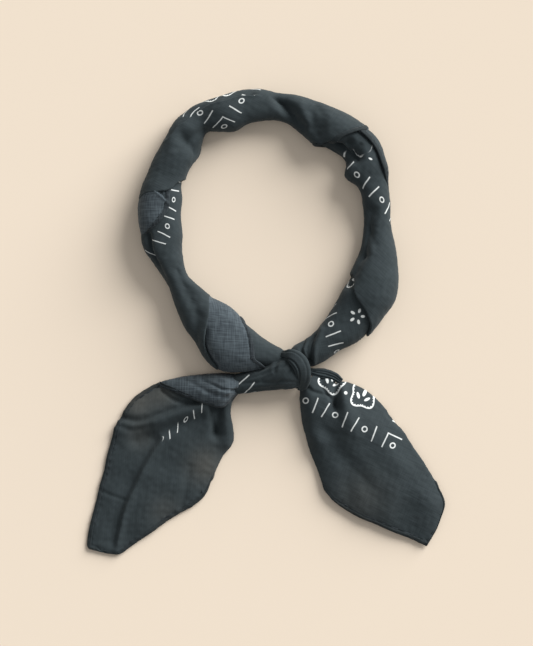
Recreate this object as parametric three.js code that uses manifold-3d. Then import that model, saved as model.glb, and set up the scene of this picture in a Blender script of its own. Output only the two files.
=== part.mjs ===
// A square cotton bandana, rolled along its diagonal, closed into a neck ring with one half
// knot, and laid flat. Its two corners leave the knot as tails. Millimetres, +Z up, the cloth
// rests on z = 0, and +Y runs from the knot towards the far side of the ring.
//
// The ring is one twisted roll whose hidden layers are solid. It shows as five stretches, and
// where one stretch ends its folded edge stands proud of the next. Cloth that has turned over
// to its paler back, the wrap and lobe of the knot, and the tails are pieces of their own.
import * as THREE from "three";
import { mergeVertices } from "three/addons/utils/BufferGeometryUtils.js";
import Module from "manifold-3d";

const wasm = await Module();
wasm.setup();

// Driving dimensions
const CLOTH = 1.2; // wall of one layer of cloth, with its hem and crumple
const SEAM_GAP = 0.3; // air between two pieces that touch
const FACET_ROOM = 0.1; // more air where two faceted surfaces curve past each other
const HEM_RISE = 0.5; // extra thickness where the edge is turned twice and stitched
const HEM_WIDTH = 2.4; // width of that turned edge
const RING_CENTRE = { x: 1, y: 60.3 }; // middle of the neck opening, as the tables have it
const BOX_CENTRE = { x: -0.5, y: 0.7 }; // middle of the outline in the tables: the origin
const MEAN_RADIUS = 70; // of the line along the middle of the roll
const ROLL_CORNER = 2.3; // how square a section of the roll is: 2 is an ellipse
const ROLL_SEAT = 0.46; // height of the middle of a section, as a share of the roll's height
const TAIL_SHOULDER = 0.7; // how soon a tail reaches its height from its edge: 1 is a sine
const DEGREE = Math.PI / 180;

// How finely the pieces are faceted
const ROLL_STEP = 4.2; // degrees of the ring for each section
const ROLL_SIDES = 26; // points round a section of the roll
const STRAND_SIDES = 20; // points round a section of a strand of the knot
const STRAND_STEPS = 14; // sections along a strand of the knot
const TAIL_STEPS = 24; // sections along a tail
const TAIL_ACROSS = 13; // points across a tail, between its two hems
const LAYER_STEPS = 12; // sections along a layer that lies on another piece
const LAYER_ACROSS = 8; // points across it

const CHARCOAL = 0x2f3a3e; // the printed face
const SLATE = 0x4a555b; // the paler back, where the cloth has turned over

const table = (columns, rows) => {
  const names = columns.split(" ");
  return rows.map((row) => Object.fromEntries(names.map((name, i) => [name, row[i]])));
};

// Sections of the roll round the ring. Bearings run clockwise from the knot, in degrees.
// Inner and outer are radii from the ring's centre, and height is above the table.
const ROLL = table("at inner outer height", [
  [-12, 82, 92, 11],
  [0, 71.5, 88, 15],
  [10, 63.5, 91.5, 18],
  [20, 57.5, 93.5, 19.5],
  [30, 55.5, 86, 19],
  [40, 56.5, 79.5, 18],
  [50, 57, 74, 16],
  [58, 57.3, 71, 15],
  [70, 54.5, 74, 17.5],
  [80, 51.5, 77.3, 19.5],
  [90, 51.5, 77.6, 20],
  [103, 52, 78, 19.5],
  [113, 55, 77.3, 18],
  [124, 57, 78, 18],
  [134, 57.5, 81.5, 18.5],
  [145, 65, 83, 15],
  [152, 61.5, 81.2, 16.5],
  [160, 58, 81, 18],
  [170, 60.5, 80.5, 16.5],
  [182, 61.6, 78, 15],
  [191, 60, 77.5, 15.5],
  [201, 56.3, 77.6, 17],
  [211, 54, 79, 18.5],
  [222, 55.5, 81.2, 19.5],
  [232, 57.5, 82, 18],
  [240, 53, 80, 18.5],
  [250, 57.3, 77, 16],
  [260, 57.1, 74.6, 14.5],
  [270, 57.2, 73.7, 14.5],
  [280, 57.5, 77, 16],
  [290, 57.6, 82.5, 18.5],
  [301, 58.2, 88.6, 20.5],
  [311, 59.5, 89, 20],
  [320, 62.6, 91, 18],
  [330, 67.7, 88.8, 17],
  [340, 72.5, 90.2, 16],
  [350, 77, 91, 14],
]);

// Where each stretch of the roll ends, as a curve in plan: bearings at radii from the centre.
const EDGES = {
  leftKnot: table("radius at", [
    [70, -6],
    [95, -6],
  ]),
  lowerHem: table("radius at", [
    [57, 17],
    [62, 13],
    [68, 9.2],
    [73, 7.4],
    [78, 6.4],
    [82.5, 5.6],
    [86, 2.4],
    [91, -0.5],
  ]),
  lowerFold: table("radius at", [
    [56, 39],
    [65, 33.4],
    [75, 30.4],
    [83.5, 27.8],
    [88, 24.6],
    [95, 18],
  ]),
  upperFold: table("radius at", [
    [54, 119],
    [58.5, 114],
    [61.5, 109],
    [68, 105.8],
    [76, 103],
    [79, 99.5],
  ]),
  mouth: table("radius at", [
    [53, 211],
    [57, 217.5],
    [61, 220.2],
    [66, 220.8],
    [73, 223.2],
    [81, 226.6],
  ]),
  rightFold: table("radius at", [
    [57, 301],
    [65, 308],
    [69, 310],
    [79, 312.2],
    [84, 313.6],
    [88, 315.2],
    [92, 319],
  ]),
  rightKnot: table("radius at", [
    [75, 348],
    [95, 346],
  ]),
};

// The stretches. Lift is how far each end stands proud of the plain roll, or below it.
const STRETCHES = table("name from to liftFrom liftTo colour", [
  ["left_arm", "leftKnot", "lowerHem", 0, -0.9, CHARCOAL],
  ["lower_turn", "lowerHem", "lowerFold", 0.5, -1.3, SLATE],
  ["left_roll", "lowerFold", "upperFold", 0.5, -1.4, CHARCOAL],
  ["top_roll", "upperFold", "mouth", 0.5, 0.6, CHARCOAL],
  ["right_roll", "mouth", "rightFold", -1.6, 0.7, CHARCOAL],
  ["right_arm", "rightFold", "rightKnot", -1.3, 0, CHARCOAL],
]);

// Hollows pressed into the top of the roll, each a trough between two places in plan.
const HOLLOWS = table("x1 y1 x2 y2 width depth", [
  [-50, 111, -40, 101, 4, 4.5], // the pinch at the inner notch, upper left
  [10, 132, 21, 116, 4, 3.4], // the slanting fold at the top
  [26, 126, 30, 112, 4.5, 2.4], // its shallower neighbour
  [37, 104, 53, 99, 3.5, 5], // the pocket under the folded edge, upper right
  [62, 66, 57, 42, 4, 2.6], // the long hollow down the inner right side
  [56, 40, 49, 24, 4, 2.2], // its lower end
  [-41, 4, -44, -13, 3.5, 3.6], // the deep shade inside the lower turned edge
  [-64, 44, -57, 32, 3, 3.2], // the gap behind the left turned edge
  [-52, 30, -44, 12, 4, 1.6], // the soft dip below it
]);

// Layers of cloth that lie on the outer side of the roll. Each has a visible edge, at a radius
// for each bearing, and ends under the outer rim, at a turn round the section.
const UPPER_TURN = table("at radius under", [
  [81.5, 76.6, 6],
  [84, 74.2, 0],
  [86, 70.8, -4],
  [88, 67.6, -8],
  [92, 63.2, -12],
  [96.5, 60.6, -12],
  [101, 60.3, -12],
  [105, 61, -12],
  [109, 61.8, -12],
]);
const OUTER_HEM = table("at radius under", [
  [224, 77, -14],
  [228, 77.6, -16],
  [232, 78, -16],
  [237, 77.6, -14],
  [244, 76.2, -10],
  [250, 75.2, -4],
  [255, 74.8, 6],
]);

// The strands of the knot, from end to end. Wide is across the strand, thick is through it.
const WRAP = table("x y z wide thick", [
  [9.8, -19.6, 9, 4.6, 5],
  [12, -19.8, 14.4, 6.6, 5.6],
  [15.2, -20.2, 18.6, 8.6, 5.6],
  [18.8, -22.8, 20.6, 9.4, 5.2],
  [21.6, -27.2, 20.4, 9.4, 5],
  [22.9, -32, 17.6, 9.2, 5],
  [23.2, -37, 12.4, 9.4, 5.4],
  [23, -41, 8, 10, 6],
]);
const LOBE = table("x y z wide thick", [
  [22, -30.4, 8.6, 13, 11],
  [17.5, -30.2, 9.6, 18.6, 16],
  [13, -30.2, 10, 20, 18.8],
  [8.6, -30.8, 9.6, 19.4, 18.2],
  [4.4, -32.2, 8.6, 17, 16],
  [-0.8, -33.5, 7.6, 15.2, 14.2],
  [-6.8, -34.8, 6.7, 13.8, 12.4],
  [-11.6, -35.8, 6, 13.2, 11],
  [-16.4, -36.8, 5.4, 12.2, 9.8],
]);
const TAIL_BACK = table("x y z wide thick", [
  [26.4, -29.6, 6.4, 3.6, 5],
  [30.5, -30.8, 6.6, 5.6, 6.4],
  [36, -31.6, 6.4, 6.6, 6.6],
  [41, -33, 5.8, 6, 6],
  [45, -35.4, 4.8, 4, 4.6],
]);

// The tails, from the knot to the corner: a point on each side edge, how high the middle
// bows, and how high the two edges stand.
const LEFT_TAIL = table("nearX nearY farX farY bow rim", [
  [-17.2, -43.4, -16, -31.6, 7, 1.4],
  [-21, -48, -23, -30.8, 7.5, 1.2],
  [-21.8, -54, -31, -30.6, 7.5, 0.8],
  [-20.6, -63.4, -40, -31.2, 7, 0.6],
  [-20.4, -69.4, -48.4, -32, 6.5, 0.5],
  [-23, -75.4, -56.6, -34, 6, 0.5],
  [-26.6, -80.6, -64, -36.2, 5.6, 0.5],
  [-30.2, -87.4, -72.2, -40, 5.2, 0.5],
  [-33.2, -93.4, -80, -46, 4.8, 0.5],
  [-35, -99.4, -86, -54.4, 4.4, 0.5],
  [-38, -104.8, -90.8, -64.6, 4, 0.5],
  [-44.6, -110.4, -94.2, -74.8, 3.8, 0.5],
  [-52, -114.4, -96.8, -85.6, 3.4, 0.4],
  [-60.2, -119.8, -99.8, -97.6, 3, 0.4],
  [-68.6, -125.2, -102.6, -108.4, 2.4, 0.3],
  [-77, -131.2, -105.2, -119.2, 1.8, 0.3],
  [-83.6, -136, -107, -128.2, 1.2, 0.2],
  [-89, -139, -107.4, -134.2, 0.7, 0],
  [-97.4, -138.6, -106.4, -136.2, 0.3, 0],
]);
const RIGHT_TAIL = table("nearX nearY farX farY bow rim", [
  [20.4, -39.4, 28, -32.4, 7.4, 2],
  [20.6, -45, 35.4, -34.4, 8.4, 1.6],
  [20.8, -52.6, 42, -36.2, 9, 1.2],
  [21.6, -59.4, 48.6, -36.2, 9.2, 0.9],
  [23.4, -67.4, 54.6, -38.2, 9, 0.7],
  [26, -76, 61.2, -41.8, 8.2, 0.6],
  [29.4, -85.4, 67.8, -47.8, 7.4, 0.5],
  [33.6, -95.6, 73.8, -55, 6.6, 0.5],
  [39, -105.2, 79.8, -62.2, 5.8, 0.5],
  [46, -111.6, 85.8, -71.2, 5.2, 0.4],
  [55.2, -116.6, 91.6, -80.2, 4.4, 0.4],
  [66, -121, 97, -88.6, 3.6, 0.3],
  [77.4, -125.8, 102.4, -98.2, 2.8, 0.3],
  [87, -129.8, 106.8, -107.8, 2, 0.2],
  [94, -133, 104.8, -117.4, 1.2, 0],
  [96.4, -134.2, 99.6, -129.4, 0.4, 0],
]);

// Folds in the tails: a ridge where rise is positive, or a valley, between two places in plan.
const LEFT_FOLDS = table("x1 y1 x2 y2 width rise", [
  [-58, -70, -84, -136, 4.5, -2.6], // the long valley to the corner
  [-50, -76, -72, -128, 5, 1.6], // the ridge beside it
  [-36, -50, -88, -62, 6, 2.2], // the swell under the top edge
  [-40, -57, -78, -71, 4, -2.2], // the valley below that swell
  [-28, -49, -30, -66, 3.5, -4.2], // the deep pleat under the turned cloth
  [-23.5, -50, -24, -72, 4, 2], // the round lobe beside the pleat
]);
const RIGHT_FOLDS = table("x1 y1 x2 y2 width rise", [
  [33, -38, 42, -56, 5, -3.8], // the pleat that opens from the knot
  [42, -38, 52, -66, 6, 2.6], // the round ridge beside it
  [24, -46, 32, -72, 5, 1.8], // the swell down the near side
  [30, -60, 60, -96, 5, -1.4], // the shallow dip in the middle
  [60, -60, 98, -108, 7, 1.2], // the swell to the far corner
]);

// Where the turned cloth of the left tail ends, as a share of the way across from the far side.
const LEFT_TURN = table("along limit rise", [
  [0.0, 0.9, 3.4],
  [0.045, 0.86, 4.2],
  [0.09, 0.76, 4.4],
  [0.14, 0.58, 3.8],
  [0.19, 0.42, 2.6],
  [0.24, 0.24, 1.4],
  [0.29, 0.1, 0.6],
]);

// The value of a column at a place along a table, on a smooth curve through its rows.
function columnAt(rows, key, at, name) {
  const last = rows.length - 1;
  const place = THREE.MathUtils.clamp(at, rows[0][key], rows[last][key]);
  let i = 0;
  while (i < last - 1 && rows[i + 1][key] < place) i++;
  const slope = (k) => {
    const a = rows[Math.max(k - 1, 0)];
    const b = rows[Math.min(k + 1, last)];
    return (b[name] - a[name]) / (b[key] - a[key]);
  };
  const span = rows[i + 1][key] - rows[i][key];
  const t = (place - rows[i][key]) / span;
  const [t2, t3] = [t * t, t * t * t];
  return (
    (2 * t3 - 3 * t2 + 1) * rows[i][name] +
    (t3 - 2 * t2 + t) * span * slope(i) +
    (3 * t2 - 2 * t3) * rows[i + 1][name] +
    (t3 - t2) * span * slope(i + 1)
  );
}

// The same rows with a column that says how far along the strand or tail each one is, 0 to 1.
function measured(rows, middleOf) {
  const middles = rows.map(middleOf);
  let length = 0;
  const lengths = middles.map((point, i) => {
    if (i > 0) length += point.distanceTo(middles[i - 1]);
    return length;
  });
  return rows.map((row, i) => ({ ...row, share: lengths[i] / length }));
}

// How strongly a trough or ridge is felt at a place in plan: 1 on its line, 0 far from it.
function reach(fold, x, y) {
  const [dx, dy] = [fold.x2 - fold.x1, fold.y2 - fold.y1];
  const share = ((x - fold.x1) * dx + (y - fold.y1) * dy) / (dx * dx + dy * dy);
  const held = THREE.MathUtils.clamp(share, 0, 1);
  const off = Math.hypot(x - fold.x1 - dx * held, y - fold.y1 - dy * held);
  return Math.exp(-((off / fold.width) ** 2));
}

// A round number's sign with its size raised to the power that squares off an ellipse.
const squared = (value, corner) => Math.sign(value) * Math.abs(value) ** (2 / corner);

// How far out a place on the roll is: across runs from -1 at the inner rim to 1 at the outer.
function rollRadius(bearing, across, lift) {
  const inner = columnAt(ROLL, "at", bearing, "inner") - lift;
  const outer = columnAt(ROLL, "at", bearing, "outer") + lift;
  return (inner + outer) / 2 + (across * (outer - inner)) / 2;
}

// A point of the roll: at a bearing, a turn round its section, and a lift off the plain roll.
// A turn of 0 is the outer rim, 90 degrees the top and 180 the inner rim.
function rollPoint(bearing, turn, lift) {
  const radius = rollRadius(bearing, squared(Math.cos(turn), ROLL_CORNER), lift);
  const height = columnAt(ROLL, "at", bearing, "height") + lift;
  const up = squared(Math.sin(turn), ROLL_CORNER);
  const x = RING_CENTRE.x - radius * Math.sin(bearing * DEGREE);
  const y = RING_CENTRE.y - radius * Math.cos(bearing * DEGREE);
  const pressed = HOLLOWS.reduce((sum, hollow) => sum + hollow.depth * reach(hollow, x, y), 0);
  const z = height * (ROLL_SEAT + (1 - ROLL_SEAT) * up) - pressed * Math.max(up, 0);
  return new THREE.Vector3(x, y, Math.max(z, 0));
}

// The bearing at which a stretch's edge crosses a line that runs along the roll, moved a
// distance past the edge. The edge is one curve in plan, whatever the lift of the stretch.
function edgeBearing(edge, across, lift, past) {
  const crossing = (radius) => columnAt(edge, "radius", radius, "at");
  let bearing = crossing((edge[0].radius + edge.at(-1).radius) / 2);
  for (let pass = 0; pass < 50; pass++) {
    const radius = rollRadius(bearing, across, lift);
    const slant = (crossing(radius + 0.5) - crossing(radius - 0.5)) * DEGREE * radius;
    const clear = (past * Math.hypot(1, slant)) / radius / DEGREE;
    bearing += (crossing(radius) + clear - bearing) / 2;
  }
  return bearing;
}

// How far a stretch stands proud of the plain roll, at a share of its length.
const liftOf = ({ liftFrom, liftTo }, share) => liftFrom * (1 - share) ** 2 + liftTo * share ** 2;

// A closed solid from rings of points. Each ring starts at one rim and comes back to it the
// same way, so that the points before and after the far rim lie one above the other, and the
// two ends are closed with upright strips.
function lofted(rings) {
  const sides = rings[0].length;
  const faces = [];
  for (let i = 0; i < rings.length - 1; i++)
    for (let j = 0; j < sides; j++) {
      const [a, b] = [i * sides + j, i * sides + ((j + 1) % sides)];
      faces.push(a, a + sides, b, b, a + sides, b + sides);
    }
  const base = (rings.length - 1) * sides;
  for (let j = 0; j < sides / 2; j++) {
    const [a, b] = [j, j + 1];
    const [c, d] = [(sides - a) % sides, (sides - b) % sides];
    faces.push(a, b, c, c, b, d);
    faces.push(base + a, base + c, base + b, base + c, base + d, base + b);
  }
  return closedGeometry(rings.flat(), faces);
}

// A mesh with its vertices merged, turned so that its faces point out.
function closedGeometry(points, faces) {
  const geometry = new THREE.BufferGeometry().setFromPoints(points).setIndex(faces);
  const merged = mergeVertices(geometry, 1e-4);
  const index = Array.from(merged.index.array);
  const kept = [];
  for (let i = 0; i < index.length; i += 3) {
    const [a, b, c] = index.slice(i, i + 3);
    if (a !== b && b !== c && c !== a) kept.push(a, b, c);
  }
  merged.setIndex(kept);
  if (signedVolume(merged) < 0) {
    for (let i = 0; i < kept.length; i += 3) [kept[i + 1], kept[i + 2]] = [kept[i + 2], kept[i + 1]];
    merged.setIndex(kept);
  }
  return merged;
}

function signedVolume(geometry) {
  const at = (i) => new THREE.Vector3().fromBufferAttribute(geometry.attributes.position, i);
  const index = geometry.index.array;
  let volume = 0;
  for (let i = 0; i < index.length; i += 3)
    volume += at(index[i]).dot(at(index[i + 1]).cross(at(index[i + 2]))) / 6;
  return volume;
}

// A geometry as a solid that can be cut, and back again.
function solidOf(geometry) {
  return new wasm.Manifold(
    new wasm.Mesh({
      numProp: 3,
      vertProperties: geometry.attributes.position.array,
      triVerts: new Uint32Array(geometry.index.array),
    }),
  );
}

function geometryOf(solid) {
  const largest = solid.decompose().sort((a, b) => b.volume() - a.volume())[0];
  const mesh = largest.getMesh();
  return new THREE.BufferGeometry()
    .setAttribute("position", new THREE.BufferAttribute(new Float32Array(mesh.vertProperties), 3))
    .setIndex(new THREE.BufferAttribute(new Uint32Array(mesh.triVerts), 1));
}

const cutBy = (geometry, ...tools) =>
  geometryOf(tools.reduce((left, tool) => left.subtract(solidOf(tool)), solidOf(geometry)));

// One stretch of the roll, between two edges, half a seam gap short of each.
function rollStretch(stretch) {
  const [start, end] = [EDGES[stretch.from], EDGES[stretch.to]];
  const [first, last] = [start, end].map((edge) => columnAt(edge, "radius", MEAN_RADIUS, "at"));
  const steps = Math.max(3, Math.round((last - first) / ROLL_STEP));
  const rings = [];
  for (let i = 0; i <= steps; i++) {
    const share = i / steps;
    const lift = liftOf(stretch, share);
    const ring = [];
    for (let j = 0; j < ROLL_SIDES; j++) {
      const turn = (j / ROLL_SIDES) * 2 * Math.PI;
      const across = squared(Math.cos(turn), ROLL_CORNER);
      const nearEnd = edgeBearing(start, across, lift, SEAM_GAP / 2 + FACET_ROOM);
      const farEnd = edgeBearing(end, across, lift, -SEAM_GAP / 2 - FACET_ROOM);
      ring.push(rollPoint(nearEnd + (farEnd - nearEnd) * share, turn, lift));
    }
    rings.push(ring);
  }
  return lofted(rings);
}

// A strand of the knot, grown by a clearance where it is used to cut its neighbours.
function strand(rows, clearance = 0) {
  const placed = measured(rows, ({ x, y, z }) => new THREE.Vector3(x, y, z));
  const value = (share, name) => columnAt(placed, "share", share, name);
  const centre = (share) =>
    new THREE.Vector3(value(share, "x"), value(share, "y"), value(share, "z"));
  const rings = [];
  for (let i = 0; i <= STRAND_STEPS; i++) {
    const share = i / STRAND_STEPS;
    const step = 0.5 / STRAND_STEPS;
    const ahead = centre(Math.min(share + step, 1)).sub(centre(Math.max(share - step, 0)));
    const side = new THREE.Vector3(-ahead.y, ahead.x, 0).normalize();
    const up = ahead.clone().normalize().cross(side);
    const past = { 0: -clearance, [STRAND_STEPS]: clearance }[i] ?? 0;
    const middle = centre(share).addScaledVector(ahead.normalize(), past);
    const [wide, thick] = [value(share, "wide"), value(share, "thick")];
    const ring = [];
    for (let j = 0; j < STRAND_SIDES; j++) {
      const turn = (j / STRAND_SIDES) * 2 * Math.PI;
      const point = middle
        .clone()
        .addScaledVector(side, (wide / 2 + clearance) * squared(Math.cos(turn), ROLL_CORNER))
        .addScaledVector(up, (thick / 2 + clearance) * squared(Math.sin(turn), ROLL_CORNER));
      point.z = Math.max(point.z, 0);
      ring.push(point);
    }
    rings.push(ring);
  }
  return lofted(rings);
}

// The top of a tail at a share of its length and a share of the way across, near side first.
function tailPoint(rows, folds, along, across) {
  const value = (name) => columnAt(rows, "share", along, name);
  const x = value("nearX") + (value("farX") - value("nearX")) * across;
  const y = value("nearY") + (value("farY") - value("nearY")) * across;
  const inside = Math.sin(Math.PI * across) ** TAIL_SHOULDER;
  const folded = folds.reduce((sum, fold) => sum + fold.rise * reach(fold, x, y), 0);
  const z = CLOTH + value("rim") + (value("bow") + folded) * inside;
  return new THREE.Vector3(x, y, Math.max(z, CLOTH));
}

// A wall of cloth between two grids of points, its top and its underside.
function wall(top, under) {
  const [rows, columns] = [top.length, top[0].length];
  const points = [...top.flat(), ...under.flat()];
  const below = rows * columns;
  const at = (i, j) => i * columns + j;
  const faces = [];
  const quad = (a, b, c, d) => faces.push(a, b, c, a, c, d);
  for (let i = 0; i < rows - 1; i++)
    for (let j = 0; j < columns - 1; j++) {
      quad(at(i, j), at(i + 1, j), at(i + 1, j + 1), at(i, j + 1));
      quad(
        below + at(i, j),
        below + at(i, j + 1),
        below + at(i + 1, j + 1),
        below + at(i + 1, j),
      );
    }
  for (let i = 0; i < rows - 1; i++) {
    quad(at(i, 0), below + at(i, 0), below + at(i + 1, 0), at(i + 1, 0));
    const j = columns - 1;
    quad(at(i, j), at(i + 1, j), below + at(i + 1, j), below + at(i, j));
  }
  for (let j = 0; j < columns - 1; j++) {
    quad(at(0, j), at(0, j + 1), below + at(0, j + 1), below + at(0, j));
    const i = rows - 1;
    quad(at(i, j), below + at(i, j), below + at(i, j + 1), at(i, j + 1));
  }
  return closedGeometry(points, faces);
}

const lowered = (grid, drop) =>
  grid.map((row) => row.map(({ x, y, z }) => new THREE.Vector3(x, y, Math.max(z - drop, 0))));

const middleOfTail = (row) =>
  new THREE.Vector3((row.nearX + row.farX) / 2, (row.nearY + row.farY) / 2, 0);

// Shares of the way across a tail: the two hems, and evenly between them.
function sharesAcross(width) {
  const hem = Math.min(HEM_WIDTH / width, 0.2);
  const inner = Array.from({ length: TAIL_ACROSS }, (_, j) => j / (TAIL_ACROSS - 1));
  return [0, ...inner.map((share) => hem + (1 - 2 * hem) * share), 1];
}

// A whole tail, with its hemmed side edges standing a little proud.
function tail(table, folds) {
  const rows = measured(table, middleOfTail);
  const grid = [];
  for (let i = 0; i <= TAIL_STEPS; i++) {
    const along = i / TAIL_STEPS;
    const value = (name) => columnAt(rows, "share", along, name);
    const width = Math.hypot(value("farX") - value("nearX"), value("farY") - value("nearY"));
    const shares = sharesAcross(width);
    const row = shares.map((across) => tailPoint(rows, folds, along, across));
    for (const edge of [0, 1, shares.length - 2, shares.length - 1]) row[edge].z += HEM_RISE;
    grid.push(row);
  }
  for (const point of grid.at(-1)) point.z += HEM_RISE;
  return wall(grid, lowered(grid, CLOTH));
}

// The cloth of the left tail that has turned over at the knot and shows its paler back.
function leftTurn() {
  const rows = measured(LEFT_TAIL, middleOfTail);
  const ridges = LEFT_FOLDS.filter(({ rise }) => rise > 0);
  const end = LEFT_TURN.at(-1).along;
  const grid = [];
  for (let i = 0; i <= LAYER_STEPS; i++) {
    const along = (end * i) / LAYER_STEPS;
    const limit = columnAt(LEFT_TURN, "along", along, "limit");
    const rise = columnAt(LEFT_TURN, "along", along, "rise");
    const row = [];
    for (let j = 0; j <= LAYER_ACROSS; j++) {
      const share = j / LAYER_ACROSS;
      const point = tailPoint(rows, ridges, along, 1 - limit * share);
      const bulge = rise * Math.sin(Math.PI * share) ** TAIL_SHOULDER;
      point.z += bulge + HEM_RISE + SEAM_GAP + FACET_ROOM;
      row.push(point);
    }
    grid.push(row);
  }
  return wall(lowered(grid, -CLOTH), grid);
}

// A layer of cloth that lies on the outer side of a stretch of the roll.
function outerLayer(rows, stretchName) {
  const stretch = STRETCHES.find(({ name }) => name === stretchName);
  const [start, end] = [stretch.from, stretch.to].map((name) => EDGES[name]);
  const liftAt = (bearing) => {
    const [first, last] = [start, end].map((edge) => columnAt(edge, "radius", MEAN_RADIUS, "at"));
    return liftOf(stretch, THREE.MathUtils.clamp((bearing - first) / (last - first), 0, 1));
  };
  const grid = [];
  for (let i = 0; i <= LAYER_STEPS; i++) {
    const at = rows[0].at + ((rows.at(-1).at - rows[0].at) * i) / LAYER_STEPS;
    const [radius, under] = ["radius", "under"].map((name) => columnAt(rows, "at", at, name));
    const [inner, outer] = [-1, 1].map((side) => rollRadius(at, side, liftAt(at) + CLOTH));
    const across = THREE.MathUtils.clamp((2 * radius - inner - outer) / (outer - inner), -1, 0.98);
    const top = Math.acos(Math.sign(across) * Math.abs(across) ** (ROLL_CORNER / 2)) / DEGREE;
    const row = [];
    for (let j = 0; j <= LAYER_ACROSS; j++) {
      const turn = (under + ((top - under) * j) / LAYER_ACROSS) * DEGREE;
      const place = squared(Math.cos(turn), ROLL_CORNER);
      const first = edgeBearing(start, place, 0, SEAM_GAP + FACET_ROOM);
      const last = edgeBearing(end, place, 0, -SEAM_GAP - FACET_ROOM);
      row.push({ bearing: THREE.MathUtils.clamp(at, first, last), turn });
    }
    grid.push(row);
  }
  const moved = (out) =>
    grid.map((row) =>
      row.map(({ bearing, turn }) => rollPoint(bearing, turn, liftAt(bearing) + out)),
    );
  return wall(moved(SEAM_GAP + FACET_ROOM + CLOTH), moved(SEAM_GAP + FACET_ROOM));
}

const piece = (name, geometry, colour) => {
  const material = new THREE.MeshStandardMaterial({ color: colour, roughness: 0.92, metalness: 0 });
  const mesh = new THREE.Mesh(geometry, material);
  mesh.name = name;
  return mesh;
};

const wrap = strand(WRAP);
const wrapRoom = strand(WRAP, SEAM_GAP + FACET_ROOM);
const lobe = cutBy(strand(LOBE), wrapRoom);
const lobeRoom = strand(LOBE, SEAM_GAP + FACET_ROOM);
const back = cutBy(strand(TAIL_BACK), wrapRoom, lobeRoom);
const backRoom = strand(TAIL_BACK, SEAM_GAP + FACET_ROOM);

const bandana = new THREE.Group();
bandana.position.set(-BOX_CENTRE.x, -BOX_CENTRE.y, 0);
for (const stretch of STRETCHES) {
  const plain = rollStretch(stretch);
  const meetsKnot = ["left_arm", "right_arm", "lower_turn"].includes(stretch.name);
  const shape = meetsKnot ? cutBy(plain, wrapRoom, lobeRoom, backRoom) : plain;
  bandana.add(piece(stretch.name, shape, stretch.colour));
}
bandana.add(piece("upper_turn", outerLayer(UPPER_TURN, "left_roll"), SLATE));
bandana.add(piece("outer_hem", outerLayer(OUTER_HEM, "right_roll"), CHARCOAL));
bandana.add(piece("knot_wrap", wrap, CHARCOAL));
bandana.add(piece("knot_lobe", lobe, CHARCOAL));
bandana.add(piece("left_tail", cutBy(tail(LEFT_TAIL, LEFT_FOLDS), lobeRoom), CHARCOAL));
bandana.add(piece("left_tail_turn", cutBy(leftTurn(), lobeRoom), SLATE));
const rightTail = cutBy(tail(RIGHT_TAIL, RIGHT_FOLDS), wrapRoom, lobeRoom, backRoom);
bandana.add(piece("right_tail", rightTail, CHARCOAL));
bandana.add(piece("right_tail_back", back, CHARCOAL));

export default bandana;
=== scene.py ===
"""Looks of a square cotton bandana, rolled along its diagonal, closed into a ring by a half knot
and laid flat on a pale surface.

Every piece is a thin shell of cloth on the form of its solid. Places in plan are read in
picture cells of 0.6 mm, or in millimetres from the middle of the picture, and turned into
the part's own frame, in metres, when a mesh is made.
"""

import logging
import math
from dataclasses import dataclass, field
from enum import Enum
from typing import Any, Optional, Sequence

import bpy
import numpy as np

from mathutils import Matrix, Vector

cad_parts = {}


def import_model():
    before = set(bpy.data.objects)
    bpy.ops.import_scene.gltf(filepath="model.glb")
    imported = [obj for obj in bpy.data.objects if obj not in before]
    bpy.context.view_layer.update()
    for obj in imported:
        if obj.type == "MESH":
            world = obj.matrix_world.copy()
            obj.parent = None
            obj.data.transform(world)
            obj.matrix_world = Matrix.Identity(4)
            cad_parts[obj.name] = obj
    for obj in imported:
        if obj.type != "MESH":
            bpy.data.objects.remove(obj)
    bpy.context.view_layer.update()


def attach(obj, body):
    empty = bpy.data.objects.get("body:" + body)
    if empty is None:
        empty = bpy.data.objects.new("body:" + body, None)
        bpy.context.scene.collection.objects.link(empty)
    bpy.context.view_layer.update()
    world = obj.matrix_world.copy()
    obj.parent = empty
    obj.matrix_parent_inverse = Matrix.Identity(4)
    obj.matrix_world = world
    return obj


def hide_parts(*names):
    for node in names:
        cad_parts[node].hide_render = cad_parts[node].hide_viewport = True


log = logging.getLogger("bandana")

Array = np.ndarray
Spot = tuple[float, float]

MM = 0.001
CELL = 0.6  # mm, the side of one cell of the picture
PICTURE_MIDDLE: Spot = (266.4, 322.5)  # the cell that the tables count from
ORIGIN = np.array([0.5, -0.7, 0.0])  # mm, from the tables' middle to the part's origin
DEGREE = math.pi / 180

CLOTH_SIDE = 560.0  # mm, the side of the square
CLOTH_THICK = 0.45  # mm, one layer with its nap
LOWEST = 0.02  # mm, the cloth comes no nearer the table
LOWEST_STITCH = 1.5  # mm, a seam nearer the floor has no stitches drawn
PRINT_END = 0.5  # mm, how softly the print ends to each side

BROAD_WAVE = 24.0  # mm, from one broad swell of the cloth to the next
FINE_WAVE = 5.0  # mm, from one small unevenness to the next
FINE_SWELL = 0.07  # mm, how strong that is

# Real threads are 0.25 mm apart, too fine to be seen, so they are drawn further apart
THREAD_PITCH = 0.8  # mm, from one drawn thread to the next
SLUB_LENGTH = 10.0  # mm, how far along a thread it stays thick
THREAD_RISE = 0.2  # mm, how far the threads stand out


def spot(across: float, down: float) -> Spot:
    """Turns a place in the picture into millimetres in plan, as the tables count them.

    Args:
        across: cells from the picture's left side.
        down: cells from its top.

    Returns:
        The place, x to the right and y away from the knot.
    """
    return (across - PICTURE_MIDDLE[0]) * CELL, (PICTURE_MIDDLE[1] - down) * CELL


def spots(*pairs: Spot) -> tuple[Spot, ...]:
    """Several places in the picture, as spot gives them."""
    return tuple(spot(across, down) for across, down in pairs)


class Side(Enum):
    """Which face of the cloth looks outwards."""

    PRINTED = "printed_cotton"
    BACK = "cotton_back"


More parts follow.
